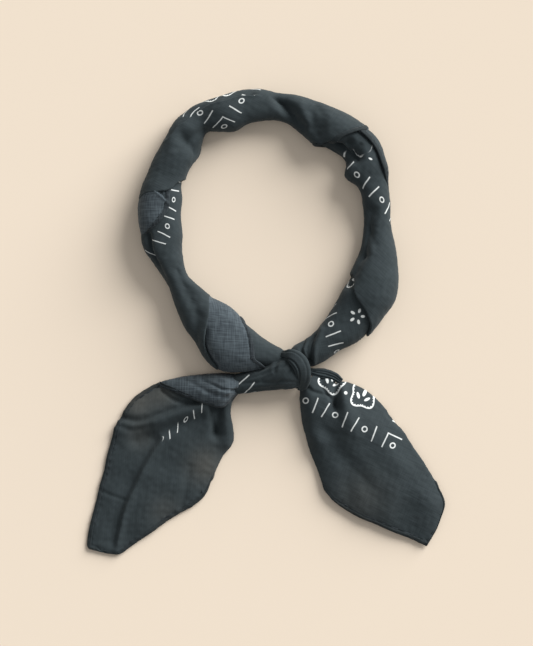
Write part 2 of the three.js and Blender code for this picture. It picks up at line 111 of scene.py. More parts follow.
class Table:
    """Rows under named columns, read anywhere on a smooth curve through them."""

    def __init__(self, columns: str, rows: Sequence[Sequence[float]]) -> None:
        """Keeps the rows.

        Args:
            columns: the columns' names, with spaces between.
            rows: one row for each section or place.
        """
        self.columns = columns.split()
        self.rows = np.array(rows, float)

    def column(self, name: str) -> Array:
        """One column, from the first row to the last."""
        return self.rows[:, self.columns.index(name)]

    def read(self, key: str, places: Array, name: str) -> Array:
        """Reads a column at places along another one.

        Args:
            key: the column that the places are measured along; it rises.
            places: where to read.
            name: the column to read.

        Returns:
            The values there, held at the first and last row beyond them.
        """
        x, y = self.column(key), self.column(name)
        place = np.clip(places, x[0], x[-1])
        i = np.clip(np.searchsorted(x, place) - 1, 0, len(x) - 2)
        before = np.maximum(np.arange(len(x)) - 1, 0)
        after = np.minimum(np.arange(len(x)) + 1, len(x) - 1)
        slope = (y[after] - y[before]) / (x[after] - x[before])
        span = x[i + 1] - x[i]
        t = (place - x[i]) / span
        t2, t3 = t * t, t * t * t
        return (
            (2 * t3 - 3 * t2 + 1) * y[i]
            + (t3 - 2 * t2 + t) * span * slope[i]
            + (3 * t2 - 2 * t3) * y[i + 1]
            + (t3 - t2) * span * slope[i + 1]
        )

    def measured(self, middles: Array) -> "Table":
        """The same rows with a column, share, of how far along each one is.

        Args:
            middles: the middle of each row, as points.

        Returns:
            A new table, with shares from 0 to 1.
        """
        steps = np.linalg.norm(np.diff(middles, axis=0), axis=1)
        share = np.concatenate([[0.0], np.cumsum(steps)]) / steps.sum()
        rows = np.column_stack([self.rows, share])
        return Table(" ".join([*self.columns, "share"]), rows.tolist())


def eased(value: Array, low: float, high: float) -> Array:
    """A smooth step from 0 at low to 1 at high."""
    t = np.clip((value - low) / (high - low), 0.0, 1.0)
    return t * t * (3 - 2 * t)


def squared(value: Array, corner: float) -> Array:
    """The sine or cosine that squares an ellipse off: a corner of 2 leaves it round."""
    return np.sign(value) * np.abs(value) ** (2 / corner)


def crumple(points: Array, wave: float, seed: int) -> Array:
    """Soft unevenness through space, about -1 to 1, the same on each run.

    Args:
        points: places, in mm.
        wave: the usual distance from one swell to the next, in mm.
        seed: which unevenness.

    Returns:
        One number for each point.
    """
    count, shortest, longest = 18, 0.6, 1.7
    rng = np.random.default_rng(seed)
    ways = rng.normal(size=(count, 3))
    ways /= np.linalg.norm(ways, axis=1)[:, None]
    waves = ways * (2 * math.pi / wave) * rng.uniform(shortest, longest, size=(count, 1))
    phases = rng.uniform(0, 2 * math.pi, size=count)
    total = np.sin(np.tensordot(points, waves.T, axes=1) + phases).sum(axis=-1)
    return total / math.sqrt(count)


@dataclass(frozen=True)
class Crease:
    """A soft trough or ridge along a line in plan, or the step where one layer ends.

    Attributes:
        line: the places that it passes, in mm.
        rise: the ridge's height in mm, or a trough's depth as a negative number.
        width: how far it spreads to each side, in mm.
        step: how far the cloth to the left of the line drops below the line, in mm.
        fade: how far the drop lasts, in mm.
        sharp: the width of the drop itself, in mm.
        sets_in: where along the line, from each end, the drop starts and is whole, in mm.
    """

    line: tuple[Spot, ...]
    rise: float = 0.0
    width: float = 2.0
    step: float = 0.0
    fade: float = 8.0
    sharp: float = 0.9
    sets_in: Spot = (-1.0, 5.0)

    def smooth_line(self) -> Array:
        """Rounds the line's corners.

        Returns:
            The line as many short pieces, one point in a row.
        """
        points = np.array(self.line, float)
        if len(points) < 3:
            return points
        rows = Table("x y", points.tolist()).measured(points)
        share = np.linspace(0, 1, 6 * len(points))
        return np.column_stack([rows.read("share", share, name) for name in ("x", "y")])

    def offsets(self, x: Array, y: Array) -> tuple[Array, Array]:
        """How far each place is from the line, and on which side.

        Args:
            x: the places in plan, x, in mm.
            y: the same, y.

        Returns:
            The distances in mm, and the sides: 1 left of the line and -1 right of it.
        """
        line = self.smooth_line()
        nearest = np.full(x.shape, 1e9)
        side = np.zeros(x.shape)
        for a, b in zip(line[:-1], line[1:]):
            run = b - a
            length = float(run @ run) or 1e-9
            share = np.clip(((x - a[0]) * run[0] + (y - a[1]) * run[1]) / length, 0, 1)
            off_x, off_y = x - a[0] - run[0] * share, y - a[1] - run[1] * share
            away = np.hypot(off_x, off_y)
            turn = run[0] * (y - a[1]) - run[1] * (x - a[0])
            closer = away < nearest
            side = np.where(closer, np.sign(turn), side)
            nearest = np.where(closer, away, nearest)
        return nearest, side

    def height(self, x: Array, y: Array) -> Array:
        """How far the crease lifts or lowers the cloth.

        Args:
            x: the places in plan, x, in mm.
            y: the same, y.

        Returns:
            Heights in mm.
        """
        nearest, side = self.offsets(x, y)
        height = self.rise * np.exp(-((nearest / self.width) ** 2))
        if self.step:
            line = self.smooth_line()
            held = 1.0
            for end, inner in ((line[0], line[2]), (line[-1], line[-3])):
                into = (inner - end) / math.hypot(*(inner - end))
                reach = (x - end[0]) * into[0] + (y - end[1]) * into[1]
                held = held * eased(reach, *self.sets_in)
            drop = eased(nearest * side, 0.0, self.sharp) * np.exp(-nearest / self.fade)
            height = height - self.step * drop * np.where(side > 0, 1, 0) * held
        return height


@dataclass(frozen=True)
class PrintPlace:
    """Where a stretch of cloth lies in the unfolded square, so that its print falls in place.

    Attributes:
        at: a place in plan, in mm.
        flat: the place on the square that shows there, in mm from its middle.
        turn: degrees from directions in plan to directions on the square.
        along: mm of cloth for each mm in plan, along the border.
        across: the same across the border.
        bend: how the border curves away behind the anchored place, for each mm squared.
        lean: how far the bars slant, in mm along for each mm across.
        spread: how far the cloth opens at a corner, in mm across for each mm along.
    """

    at: Spot
    flat: Spot
    turn: float
    along: float = 1.0
    across: float = 1.0
    bend: float = 0.0
    lean: float = 0.0
    spread: float = 0.0

    def flat_places(self, off: Array) -> Array:
        """Places on the square for distances from the place it is anchored at.

        Args:
            off: distances in plan, in mm, with x and y last.

        Returns:
            Places on the square, in mm, with x and y last.
        """
        cos, sin = math.cos(self.turn * DEGREE), math.sin(self.turn * DEGREE)
        x = (off[..., 0] * cos - off[..., 1] * sin) * self.along
        y = (off[..., 0] * sin + off[..., 1] * cos) * self.across
        y = y - self.bend * np.minimum(x, 0) ** 2 + self.spread * x
        return np.stack([x + self.lean * y + self.flat[0], y + self.flat[1]], axis=-1)

    def laid(self, points: Array) -> Array:
        """Places on the square for points of cloth that lies flat on the table."""
        return self.flat_places(points[..., :2] - np.array(self.at))


# Sections of the roll round the ring, as its solids have them. Bearings run clockwise from
# the knot, in degrees; inner and outer are radii and height is above the table, in mm.
ROLL_SECTIONS = Table(
    "at inner outer height",
    [
        [-12, 82, 92, 11],
        [0, 71.5, 88, 15],
        [10, 63.5, 91.5, 18],
        [20, 57.5, 93.5, 19.5],
        [30, 55.5, 86, 19],
        [40, 56.5, 79.5, 18],
        [50, 57, 74, 16],
        [58, 57.3, 71, 15],
        [70, 54.5, 74, 17.5],
        [80, 51.5, 77.3, 19.5],
        [90, 51.5, 77.6, 20],
        [103, 52, 78, 19.5],
        [113, 55, 77.3, 18],
        [124, 57, 78, 18],
        [134, 57.5, 81.5, 18.5],
        [145, 65, 83, 15],
        [152, 61.5, 81.2, 16.5],
        [160, 58, 81, 18],
        [170, 60.5, 80.5, 16.5],
        [182, 61.6, 78, 15],
        [191, 60, 77.5, 15.5],
        [201, 56.3, 77.6, 17],
        [211, 54, 79, 18.5],
        [222, 55.5, 81.2, 19.5],
        [232, 57.5, 82, 18],
        [240, 53, 80, 18.5],
        [250, 57.3, 77, 16],
        [260, 57.1, 74.6, 14.5],
        [270, 57.2, 73.7, 14.5],
        [280, 57.5, 77, 16],
        [290, 57.6, 82.5, 18.5],
        [301, 58.2, 88.6, 20.5],
        [311, 59.5, 89, 20],
        [320, 62.6, 91, 18],
        [330, 67.7, 88.8, 17],
        [340, 72.5, 90.2, 16],
        [350, 77, 91, 14],
    ],
)

LEFT_KNOT = Table("radius at", [[70, -6], [95, -6]])
LOWER_HEM = Table(
    "radius at",
    [[57, 17], [62, 13], [68, 9.2], [73, 7.4], [78, 6.4], [82.5, 5.6], [86, 2.4], [91, -0.5]],
)
LOWER_FOLD = Table(
    "radius at", [[56, 39], [65, 33.4], [75, 30.4], [83.5, 27.8], [88, 24.6], [95, 18]]
)
UPPER_FOLD = Table(
    "radius at", [[54, 119], [58.5, 114], [61.5, 109], [68, 105.8], [76, 103], [79, 99.5]]
)
MOUTH = Table(
    "radius at", [[53, 211], [57, 217.5], [61, 220.2], [66, 220.8], [73, 223.2], [81, 226.6]]
)
RIGHT_FOLD = Table(
    "radius at",
    [[57, 301], [65, 308], [69, 310], [79, 312.2], [84, 313.6], [88, 315.2], [92, 319]],
)
RIGHT_KNOT = Table("radius at", [[75, 348], [95, 346]])


@dataclass(frozen=True)
class Roll:
    """The rolled cloth round the neck opening, as a plain form without its creases.

    Attributes:
        sections: the roll's section at each bearing.
        centre: the middle of the neck opening, in mm.
        corner: how square a section is; 2 is an ellipse.
        seat: the height of a section's middle, as a share of its height.
        mean: the radius of the line along its middle, in mm.
    """

    sections: Table = ROLL_SECTIONS
    centre: Spot = (1.0, 60.3)
    corner: float = 2.3
    seat: float = 0.46
    mean: float = 70.0

    def radius(self, bearing: Array, across: Array, lift: Array) -> Array:
        """The radius of a place across the roll.

        Args:
            bearing: degrees clockwise from the knot.
            across: the place, from -1 inside to 1 outside.
            lift: how far the cloth stands off the plain roll, in mm.

        Returns:
            Radii in mm.
        """
        inner = self.sections.read("at", bearing, "inner") - lift
        outer = self.sections.read("at", bearing, "outer") + lift
        return (inner + outer) / 2 + across * (outer - inner) / 2

    def points(self, bearing: Array, turn: Array, lift: Array) -> Array:
        """Points of the roll's surface.

        Args:
            bearing: degrees clockwise from the knot.
            turn: degrees round the section: 0 outside, 90 on top, 180 inside.
            lift: how far the cloth stands off the plain roll, in mm.

        Returns:
            Points in mm, with x, y and z last.
        """
        radius = self.radius(bearing, squared(np.cos(turn * DEGREE), self.corner), lift)
        height = self.sections.read("at", bearing, "height") + lift
        up = squared(np.sin(turn * DEGREE), self.corner)
        x = self.centre[0] - radius * np.sin(bearing * DEGREE)
        y = self.centre[1] - radius * np.cos(bearing * DEGREE)
        return np.stack([x, y, height * (self.seat + (1 - self.seat) * up)], axis=-1)

    def crossing(self, edge: Table, across: Array, lift: Array) -> Array:
        """The bearing at which an edge crosses lines that run along the roll.

        Args:
            edge: the edge's bearing at each radius.
            across: which lines, from -1 inside to 1 outside.
            lift: how far the cloth stands off the plain roll there, in mm.

        Returns:
            A bearing for each line.
        """
        bearing = np.full(np.shape(across), float(edge.column("at").mean()))
        for _ in range(50):
            radius = self.radius(bearing, across, lift)
            bearing = bearing + (edge.read("radius", radius, "at") - bearing) / 2
        return bearing

    def turn_at(self, bearing: Array, radius: Array, lift: Array) -> Array:
        """The turn, on top of the roll, of the place at a radius.

        Args:
            bearing: degrees clockwise from the knot.
            radius: how far the place is from the middle of the opening, in mm.
            lift: how far the cloth stands off the plain roll, in mm.

        Returns:
            Degrees round the section.
        """
        inner, outer = self.radius(bearing, -1.0, lift), self.radius(bearing, 1.0, lift)
        across = np.clip((2 * radius - inner - outer) / (outer - inner), -1, 1)
        return np.arccos(np.sign(across) * np.abs(across) ** (self.corner / 2)) / DEGREE


ROLL = Roll()


def normals_of(points: Array) -> Array:
    """The direction straight off a grid of points, on the side that its faces look to.

    Args:
        points: the grid, in mm.

    Returns:
        A direction of length 1 for each point.
    """
    down_rows = np.gradient(points, axis=0)
    down_columns = np.gradient(points, axis=1)
    normal = np.cross(down_columns, down_rows)
    return normal / np.maximum(np.linalg.norm(normal, axis=-1, keepdims=True), 1e-9)


@dataclass
class ClothGrid:
    """A grid of points on a piece of cloth, and where each lies on the unfolded square.

    Attributes:
        points: rows and columns of points, in mm as the tables count them.
        flat: the same places on the square, in mm from its middle.
        closed: whether the last column is the first one again.
        sheer: how much of what lies under the cloth shows through it, 0 to 1.
        bare: where the print is left out, 0 to 1.
        hem: where the edge is turned twice, 0 to 1.
    """

    points: Array
    flat: Array
    closed: bool = False
    sheer: Optional[Array] = None
    bare: Optional[Array] = None
    hem: Optional[Array] = None

    def cut(self) -> tuple[float, float]:
        """Measures the cloth across its rows and along its columns.

        Returns:
            The width and length that it was cut to, in metres.
        """
        across = np.linalg.norm(np.diff(self.points, axis=1), axis=-1).sum(axis=1)
        along = np.linalg.norm(np.diff(self.points, axis=0), axis=-1).sum(axis=0)
        return float(across.mean()) * MM, float(along.mean()) * MM

    def area(self) -> float:
        """Measures the cloth's area.

        Returns:
            The area in square metres.
        """
        a, b = self.points[:-1, :-1], self.points[1:, 1:]
        c, d = self.points[1:, :-1], self.points[:-1, 1:]
        return float(np.linalg.norm(np.cross(b - a, c - d), axis=-1).sum() / 2) * MM * MM

    def made(self, name: str) -> bpy.types.Object:
        """Makes the grid an object.

        Args:
            name: the piece's name.

        Returns:
            The object, in the part's frame, in metres, linked to the scene.
        """
        rows, columns = self.points.shape[:2]
        used = columns - 1 if self.closed else columns
        place = (self.points[:, :used] + ORIGIN) * MM
        i, j = np.meshgrid(np.arange(rows - 1), np.arange(columns - 1), indexing="ij")
        i, j = i.ravel(), j.ravel()
        corners = [(i, j), (i, j + 1), (i + 1, j + 1), (i + 1, j)]
        faces = np.stack([a * used + b % used for a, b in corners], axis=1)
        mesh = bpy.data.meshes.new(name)
        mesh.from_pydata(place.reshape(-1, 3).tolist(), [], faces.tolist())
        flat = np.stack([self.flat[a, b] for a, b in corners], axis=1) * MM
        layer = mesh.uv_layers.new(name="Cloth")
        layer.data.foreach_set("uv", flat.reshape(-1).astype(np.float32))
        for title, values in (("Sheer", self.sheer), ("Bare", self.bare), ("Hem", self.hem)):
            if values is not None:
                held = mesh.attributes.new(title, "FLOAT", "POINT")
                held.data.foreach_set("value", values[:, :used].reshape(-1).astype(np.float32))
        mesh.polygons.foreach_set("use_smooth", np.ones(len(faces), bool))
        mesh.update()
        piece = bpy.data.objects.new(name, mesh)
        bpy.context.scene.collection.objects.link(piece)
        return piece


def relief(points: Array, creases: Sequence[Crease], seed: int, swell: float = 0.35) -> Array:
    """Presses creases and the cloth's own unevenness into a grid.

    Args:
        points: the plain grid, in mm.
        creases: what is pressed into its upper side.
        seed: which unevenness.
        swell: how strong the broad unevenness is, in mm.

    Returns:
        The new grid, nowhere below the table.
    """
    off = normals_of(points)
    x, y = points[..., 0], points[..., 1]
    height = np.zeros(x.shape)
    for crease in creases:
        height += crease.height(x, y)
    height *= np.clip(0.3 + off[..., 2] * 1.4, 0, 1)  # none on faces that look down
    fine = FINE_SWELL * crumple(points, FINE_WAVE, seed + 1)
    height += swell * crumple(points, BROAD_WAVE, seed) + fine
    moved = points + off * height[..., None]
    moved[..., 2] = np.maximum(moved[..., 2], LOWEST)
    return moved


def charted(points: Array, heading: Array, place: PrintPlace) -> Array:
    """Lays a grid out flat: as it is in plan on top, and longer down its sides.

    Args:
        points: the grid, in mm.
        heading: the forward direction in plan at each point, in radians.
        place: where the stretch lies in the square.

    Returns:
        Places on the square, in mm, for every point.
    """
    x, y = points[..., 0], points[..., 1]
    away = np.hypot(x - place.at[0], y - place.at[1])
    away = np.where(normals_of(points)[..., 2] > 0.1, away, np.inf)
    column = int(np.unravel_index(int(away.argmin()), away.shape)[1])
    steps = np.linalg.norm(np.diff(points, axis=1), axis=-1)
    around = np.concatenate([np.zeros((len(points), 1)), np.cumsum(steps, axis=1)], axis=1)
    left = np.stack([-np.sin(heading), np.cos(heading)], axis=-1)
    moved = points[..., :2] - points[:, column : column + 1, :2]
    extra = around[:, column : column + 1] - around - (moved * left).sum(axis=-1)
    off = points[..., :2] - np.array(place.at) + extra[..., None] * left
    return place.flat_places(off)


@dataclass(frozen=True)
class Hem:
    """The edge of the cloth, turned twice and stitched, with its sizes in mm.

    Attributes:
        width: the turned edge.
        rise: what it adds to the cloth.
        soft: how softly it ends to each side.
        groove: how deep the stitches pull in the cloth beside it.
        groove_at: how far past the turned edge that groove runs.
        groove_wide: how far it spreads to each side.
        pucker: how much the cloth puckers along the stitches.
        pucker_wave: from one pucker to the next.
        pucker_reach: how far the puckers spread.
        seed: which puckers.
    """

    width: float = 2.0
    rise: float = 0.4
    soft: float = 0.35
    groove: float = 0.22
    groove_at: float = 0.25
    groove_wide: float = 0.45
    pucker: float = 0.12
    pucker_wave: float = 2.6
    pucker_reach: float = 2.0
    seed: int = 91

    def band(self, away: Array) -> Array:
        """How much a place belongs to the hem, 1 on it, from how far in it is from the edge."""
        return 1 - eased(away, self.width - self.soft, self.width + self.soft)

    def raised(self, points: Array, away: Array, off: Array) -> Array:
        """Thickens the turned edge of a grid and sinks the stitch line beside it.

        Args:
            points: the grid.
            away: how far each point is from the edge, in mm.
            off: the direction off the cloth.

        Returns:
            The new grid.
        """
        past = away - self.width
        height = self.rise * self.band(away)
        height -= self.groove * np.exp(-(((past - self.groove_at) / self.groove_wide) ** 2))
        uneven = self.pucker * crumple(points, self.pucker_wave, self.seed)
        height += uneven * np.exp(-((past / self.pucker_reach) ** 2))
        return points + off * height[..., None]


@dataclass(frozen=True)
class Fold:
    """A folded edge, where the cloth goes round and back underneath.

    Attributes:
        radius: how round the edge is, in mm.
        tight: the same for a hem, as a share of it.
        angles: where there are rows round the edge, in degrees.
        backs: how far back underneath the last rows lie, in mm.
        slope: how far they part from the layer above, for each mm back.
    """

    radius: float = 0.85
    tight: float = 0.7
    angles: tuple[float, ...] = (25, 50, 75, 100, 125, 150, 180)
    backs: tuple[float, ...] = (1.0, 2.5)
    slope: float = 0.1

    def rows(self, edge: Array, inner: Array, off: Array, hem: bool) -> tuple[Array, Array]:
        """Rows that take cloth round its folded edge and back underneath.

        Args:
            edge: the points along the edge.
            inner: points a little inside the edge.
            off: the direction off the cloth at the edge.
            hem: whether the edge is a hem, which is turned tighter.

        Returns:
            The new rows, and how far past the edge each lies on the cloth, in mm.
        """
        radius = self.radius * (self.tight if hem else 1.0)
        ahead = edge - inner
        ahead = ahead / np.maximum(np.linalg.norm(ahead, axis=-1, keepdims=True), 1e-9)
        rows, lengths = [], []
        for angle in np.radians(self.angles):
            down = off * radius * (1 - np.cos(angle))
            rows.append(edge + ahead * radius * np.sin(angle) - down)
            lengths.append(radius * angle)
        for back in self.backs:
            rows.append(edge - ahead * back - off * radius * (2 + self.slope * back))
            lengths.append(radius * math.pi + back)
        return np.stack(rows), np.array(lengths)

    def under(
        self, grid: tuple[Array, Array, Array], off: Array, end: int, hem: bool
    ) -> tuple[Array, Array, Array]:
        """Carries cloth round one edge column of its grid and back underneath.

        Args:
            grid: the points, their places on the square and the hem's band.
            off: the direction off the cloth along the edge column.
            end: 0 for the first column, -1 for the last.
            hem: whether the edge is a hem.

        Returns:
            The same three with the new columns.
        """
        points, flat, band = grid
        inner = -3 if end else 2
        rows, past = self.rows(points[:, end], points[:, inner], off, hem)
        beyond = flat[:, end] - flat[:, inner]
        beyond /= np.maximum(np.linalg.norm(beyond, axis=-1, keepdims=True), 1e-9)
        more = flat[:, end] + past[:, None, None] * beyond
        margin = np.repeat(band[:, end][:, None], len(rows), axis=1)
        new = rows.transpose(1, 0, 2), more.transpose(1, 0, 2), margin
        if end:
            return tuple(np.concatenate(pair, axis=1) for pair in zip(grid, new))
        return tuple(np.concatenate([b[:, ::-1], a], axis=1) for a, b in zip(grid, new))


HEM = Hem()
FOLD = Fold()


@dataclass
class Piece:
    """What every piece of cloth shares.

    Attributes:
        name: the piece's name; its solid is the node that it stands for.
        side: which face of the cloth looks outwards.
        creases: what is pressed into it.
        place: where it lies in the square.
        seed: which unevenness it has.
        held: how the cloth is held.
        shade: where the cloth is sheer, as x, y, radius and strength, in mm.
        shown: depth from the hem beyond which no print shows, in mm.
        row: how far along the border the print starts, in mm from its middle.
        plain: rounds without print, as x, y and radius in plan, in mm.
        hems: the lines that are stitched, as points in mm.
    """

    name: str
    side: Side = Side.PRINTED
    creases: tuple[Crease, ...] = ()
    place: PrintPlace = PrintPlace((0.0, 0.0), (0.0, -262.0), 0.0)
    seed: int = 5
    held: str = "folded"
    shade: tuple[tuple[float, float, float, float], ...] = ()
    shown: float = 90.0
    row: float = 0.0
    plain: tuple[tuple[float, float, float], ...] = ()
    hems: list[Array] = field(default_factory=list)

    @property
    def title(self) -> str:
        """The object's name, apart from the node's."""
        return f"{self.name}_cloth"

    def grid(self) -> ClothGrid:
        """The piece's cloth; each kind of piece has its own."""
        raise NotImplementedError

    def sheerness(self, points: Array) -> Array:
        """How sheer the cloth looks.

        Args:
            points: the grid, in mm.

        Returns:
            A share for each point, 0 to 1.
        """
        sheer = np.zeros(points.shape[:2])
        for x, y, radius, strength in self.shade:
            away = np.hypot(points[..., 0] - x, points[..., 1] - y) / radius
            sheer += strength * np.exp(-(away**2))
        return np.clip(sheer, 0, 1)

    def build(self, finishes: "Finishes") -> None:
        """Args:
            finishes: the scene's materials.
        """
        grid = self.grid()
        grid.sheer = self.sheerness(grid.points)
        depth = CLOTH_SIDE / 2 - np.abs(grid.flat).max(axis=-1)
        run = np.abs(grid.flat).min(axis=-1)
        bare = eased(depth, self.shown - PRINT_END, self.shown + PRINT_END)
        bare = np.maximum(bare, 1 - eased(run, self.row - PRINT_END, self.row + PRINT_END))
        for x, y, radius in self.plain:
            away = np.hypot(grid.points[..., 0] - x, grid.points[..., 1] - y)
            bare = np.maximum(bare, 1 - eased(away, radius - PRINT_END, radius + PRINT_END))
        grid.bare = bare
        piece = grid.made(self.title)
        front, back = finishes.printed, finishes.back
        if self.side is Side.BACK:
            front, back = back, front
        piece.data.materials.append(front)
        piece.data.materials.append(back)
        shell = piece.modifiers.new("Thickness", "SOLIDIFY")
        shell.thickness = CLOTH_THICK * MM
        shell.offset = -1
        shell.use_rim = not grid.closed
        shell.use_even_offset = False
        shell.material_offset = 1
        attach(piece, "root")
        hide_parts(self.name)
        width, length = grid.cut()
        area = min(grid.area(), width * length)
        log.info(
            "%s: %d faces, cut %.0f x %.0f mm",
            self.title,
            len(piece.data.polygons),
            width / MM,
            length / MM,
        )


class End(Enum):
    """How one end of a stretch of the roll is finished."""

    SUNK = "sunk"
    UNDER = "under"
    FOLD = "fold"
    HEM = "hem"


@dataclass
class RollStretch(Piece):
    """One stretch of the roll, a sleeve of cloth between two edges.

    Attributes:
        edges: the two edges, as bearings at radii.
        lifts: how far each end stands off the plain roll, in mm.
        ends: how each end is finished.
        spacing: the size of a face, in mm.
        around: how many points a section has.
        tuck: how far an end runs on under its neighbour, in mm.
        sinks: how steeply an end goes down that is sunk, and one that is only under.
        hem_rows: how far from a hemmed edge the rows within the hem are, in mm.
    """

    edges: tuple[Table, Table] = (LEFT_KNOT, RIGHT_KNOT)
    lifts: tuple[float, float] = (0.0, 0.0)
    ends: tuple[End, End] = (End.SUNK, End.SUNK)
    spacing: float = 0.8
    around: int = 127
    tuck: float = 7.0
    sinks: tuple[float, float] = (0.32, 0.12)
    hem_rows: tuple[float, ...] = (0.25, 0.55, 0.9, 1.3, 1.6, 1.9, 2.2, 2.6, 3.2, 4.0)

    def shares(self) -> tuple[Array, Array]:
        """Sets out the rows, closer together within a hem.

        Returns:
            Shares of the way along, and how far past an end each row is, in mm.
        """
        first, last = [float(edge.column("at").mean()) for edge in self.edges]
        length = (last - first) * DEGREE * ROLL.mean
        share = np.linspace(0, 1, max(12, round(length / self.spacing)) + 1)
        close = np.array(self.hem_rows) / length
        least = 0.2 / length
        if self.ends[0] is End.HEM:
            share = np.concatenate([[0.0], close, share[share > close[-1] + least]])
        if self.ends[1] is End.HEM:
            kept = share[share < 1 - close[-1] - least]
            share = np.concatenate([kept, 1 - close[::-1], [1.0]])
        past = np.zeros(len(share))
        run = np.arange(1, round(self.tuck) + 1, dtype=float)
        if self.ends[0] in (End.UNDER, End.SUNK):
            share, past = np.concatenate([0 * run, share]), np.concatenate([-run[::-1], past])
        if self.ends[1] in (End.UNDER, End.SUNK):
            share, past = np.concatenate([share, 0 * run + 1]), np.concatenate([past, run])
        return share, past

    def grid(self) -> ClothGrid:
        """Lays the sleeve round the roll, with its creases, hems and folded edges.

        Returns:
            The cloth.
        """
        share, past = self.shares()
        turn = np.linspace(-90, 270, self.around)[None, :]
        lift = self.lifts[0] * (1 - share) ** 2 + self.lifts[1] * share**2
        sinking = [self.sinks[0] if end is End.SUNK else self.sinks[1] for end in self.ends]
        lift = (lift - np.abs(past) * np.where(past < 0, *sinking))[:, None]
        across = squared(np.cos(turn * DEGREE), ROLL.corner)
        across, full_lift = np.broadcast_arrays(across, lift)
        near = ROLL.crossing(self.edges[0], across, full_lift)
        far = ROLL.crossing(self.edges[1], across, full_lift)
        radius = ROLL.radius(near, across, full_lift)
        bearing = near + (far - near) * share[:, None] + past[:, None] / radius / DEGREE
        points = ROLL.points(bearing, turn, full_lift)
        points = relief(points, (*ROLL_CREASES, *self.creases), self.seed)
        points, band = self.hemmed(points)
        heading = math.pi - bearing * DEGREE
        flat = charted(points, heading, self.place)
        return self.finished(points, flat, band)

    def hemmed(self, points: Array) -> tuple[Array, Array]:
        """Raises the turned edge along an end that is a hem, and keeps its stitch line.

        Args:
            points: the grid, in mm.

        Returns:
            The new grid, and how much each point belongs to a hem.
        """
        band = np.zeros(points.shape[:2])
        for end, order in ((0, 1), (1, -1)):
            if self.ends[end] is not End.HEM:
                continue
            rows = points[::order]
            away = np.linalg.norm(rows - rows[:1], axis=-1)
            points = HEM.raised(rows, away, normals_of(points)[::order])[::order]
            band = np.maximum(band, HEM.band(away)[::order])
            close = np.abs(away - HEM.width).argmin(axis=0)
            line = points[::order][close, np.arange(points.shape[1])]
            top = normals_of(points)[::order][close, np.arange(points.shape[1])]
            shown = line[:, 2] > LOWEST_STITCH
            self.hems.append(np.concatenate([line, top], axis=1)[shown])
        return points, band

    def finished(self, points: Array, flat: Array, band: Array) -> ClothGrid:
        """Turns the folded ends round and closes the sleeve.

        Args:
            points: the grid, in mm.
            flat: the same places on the square.
            band: how much each point belongs to a hem.

        Returns:
            The cloth.
        """
        off = normals_of(points)
        points[:, -1] = points[:, 0]
        grid = points.transpose(1, 0, 2), flat.transpose(1, 0, 2), band.T
        for end in (0, -1):
            if self.ends[end] in (End.FOLD, End.HEM):
                grid = FOLD.under(grid, off[end], end, self.ends[end] is End.HEM)
        points, flat, band = (part.swapaxes(0, 1) for part in grid)
        points[..., 2] = np.maximum(points[..., 2], LOWEST)
        return ClothGrid(points, flat, closed=True, hem=band)


@dataclass
class OuterLayer(Piece):
    """A layer of cloth that lies on the outer side of a stretch of the roll.

    Attributes:
        rows: its visible edge, as a radius at each bearing, and the turn where it ends.
        carrier: the stretch that it lies on.
        hem: whether its visible edge is hemmed.
        tapers: over how many degrees it thins out at its first and last row.
        steps: how many rows it has.
        edge_lift: how far its visible edge stands off the carrier, in mm.
        least: how far round it reaches at least, in degrees.
        inset: how far it keeps from the carrier's ends, in degrees.
        sunk: how far it lies inside the plain roll where it has thinned out, in mm.
        stand: how much higher the rest of it lies, in mm.
    """

    rows: Table = field(default_factory=lambda: Table("at radius under", [[0, 0, 0], [1, 0, 0]]))
    carrier: Optional[RollStretch] = None
    hem: bool = True
    tapers: tuple[float, float] = (0.01, 0.01)
    steps: int = 64
    edge_lift: float = 1.2
    least: float = 15.0
    inset: float = 0.2
    sunk: float = 0.6
    stand: float = 2.05

    def grid(self) -> ClothGrid:
        """Lays the layer on its carrier, from its hidden end to its visible edge.

        Returns:
            The cloth.
        """
        first, last = [float(edge.column("at").mean()) for edge in self.carrier.edges]
        at = np.linspace(self.rows.rows[0, 0], self.rows.rows[-1, 0], self.steps)[:, None]
        share = np.clip((at - first) / (last - first), 0, 1)
        lifts = self.carrier.lifts
        lift = lifts[0] * (1 - share) ** 2 + lifts[1] * share**2
        radius = self.rows.read("at", at, "radius")
        under = self.rows.read("at", at, "under")
        top = ROLL.turn_at(at, radius, lift + self.edge_lift)
        top = np.maximum(top, under + self.least)
        step = np.concatenate([np.linspace(0, 0.86, 30), np.linspace(0.875, 1, 12)])[None, :]
        turn = under + (top - under) * step
        bearing = at + 0 * turn
        across = squared(np.cos(turn * DEGREE), ROLL.corner)
        low = ROLL.crossing(self.carrier.edges[0], across, 0 * across) + self.inset
        high = ROLL.crossing(self.carrier.edges[1], across, 0 * across) - self.inset
        bearing = np.clip(bearing, low, high)
        stands = eased(at - at[0], 0, self.tapers[0]) * eased(at[-1] - at, 0, self.tapers[1])
        lift = lift - self.sunk + self.stand * stands + 0 * turn
        points = ROLL.points(bearing, turn, lift)
        points = relief(points, (*ROLL_CREASES, *self.creases), self.seed)
        band = np.zeros(points.shape[:2])
        if self.hem:
            away = np.linalg.norm(points - points[:, -1:], axis=-1)
            points, band = HEM.raised(points, away, normals_of(points)), HEM.band(away)
            close = int(np.abs(away.mean(axis=0) - HEM.width).argmin())
            top_side = normals_of(points)[:, close]
            self.hems.append(np.concatenate([points[:, close], top_side], axis=1)[1:-1])
        flat = charted(points, math.pi - bearing * DEGREE, self.place)
        edge_off = normals_of(points)[:, -1]
        points, flat, band = FOLD.under((points, flat, band), edge_off, -1, self.hem)
        return ClothGrid(points, flat, hem=band)


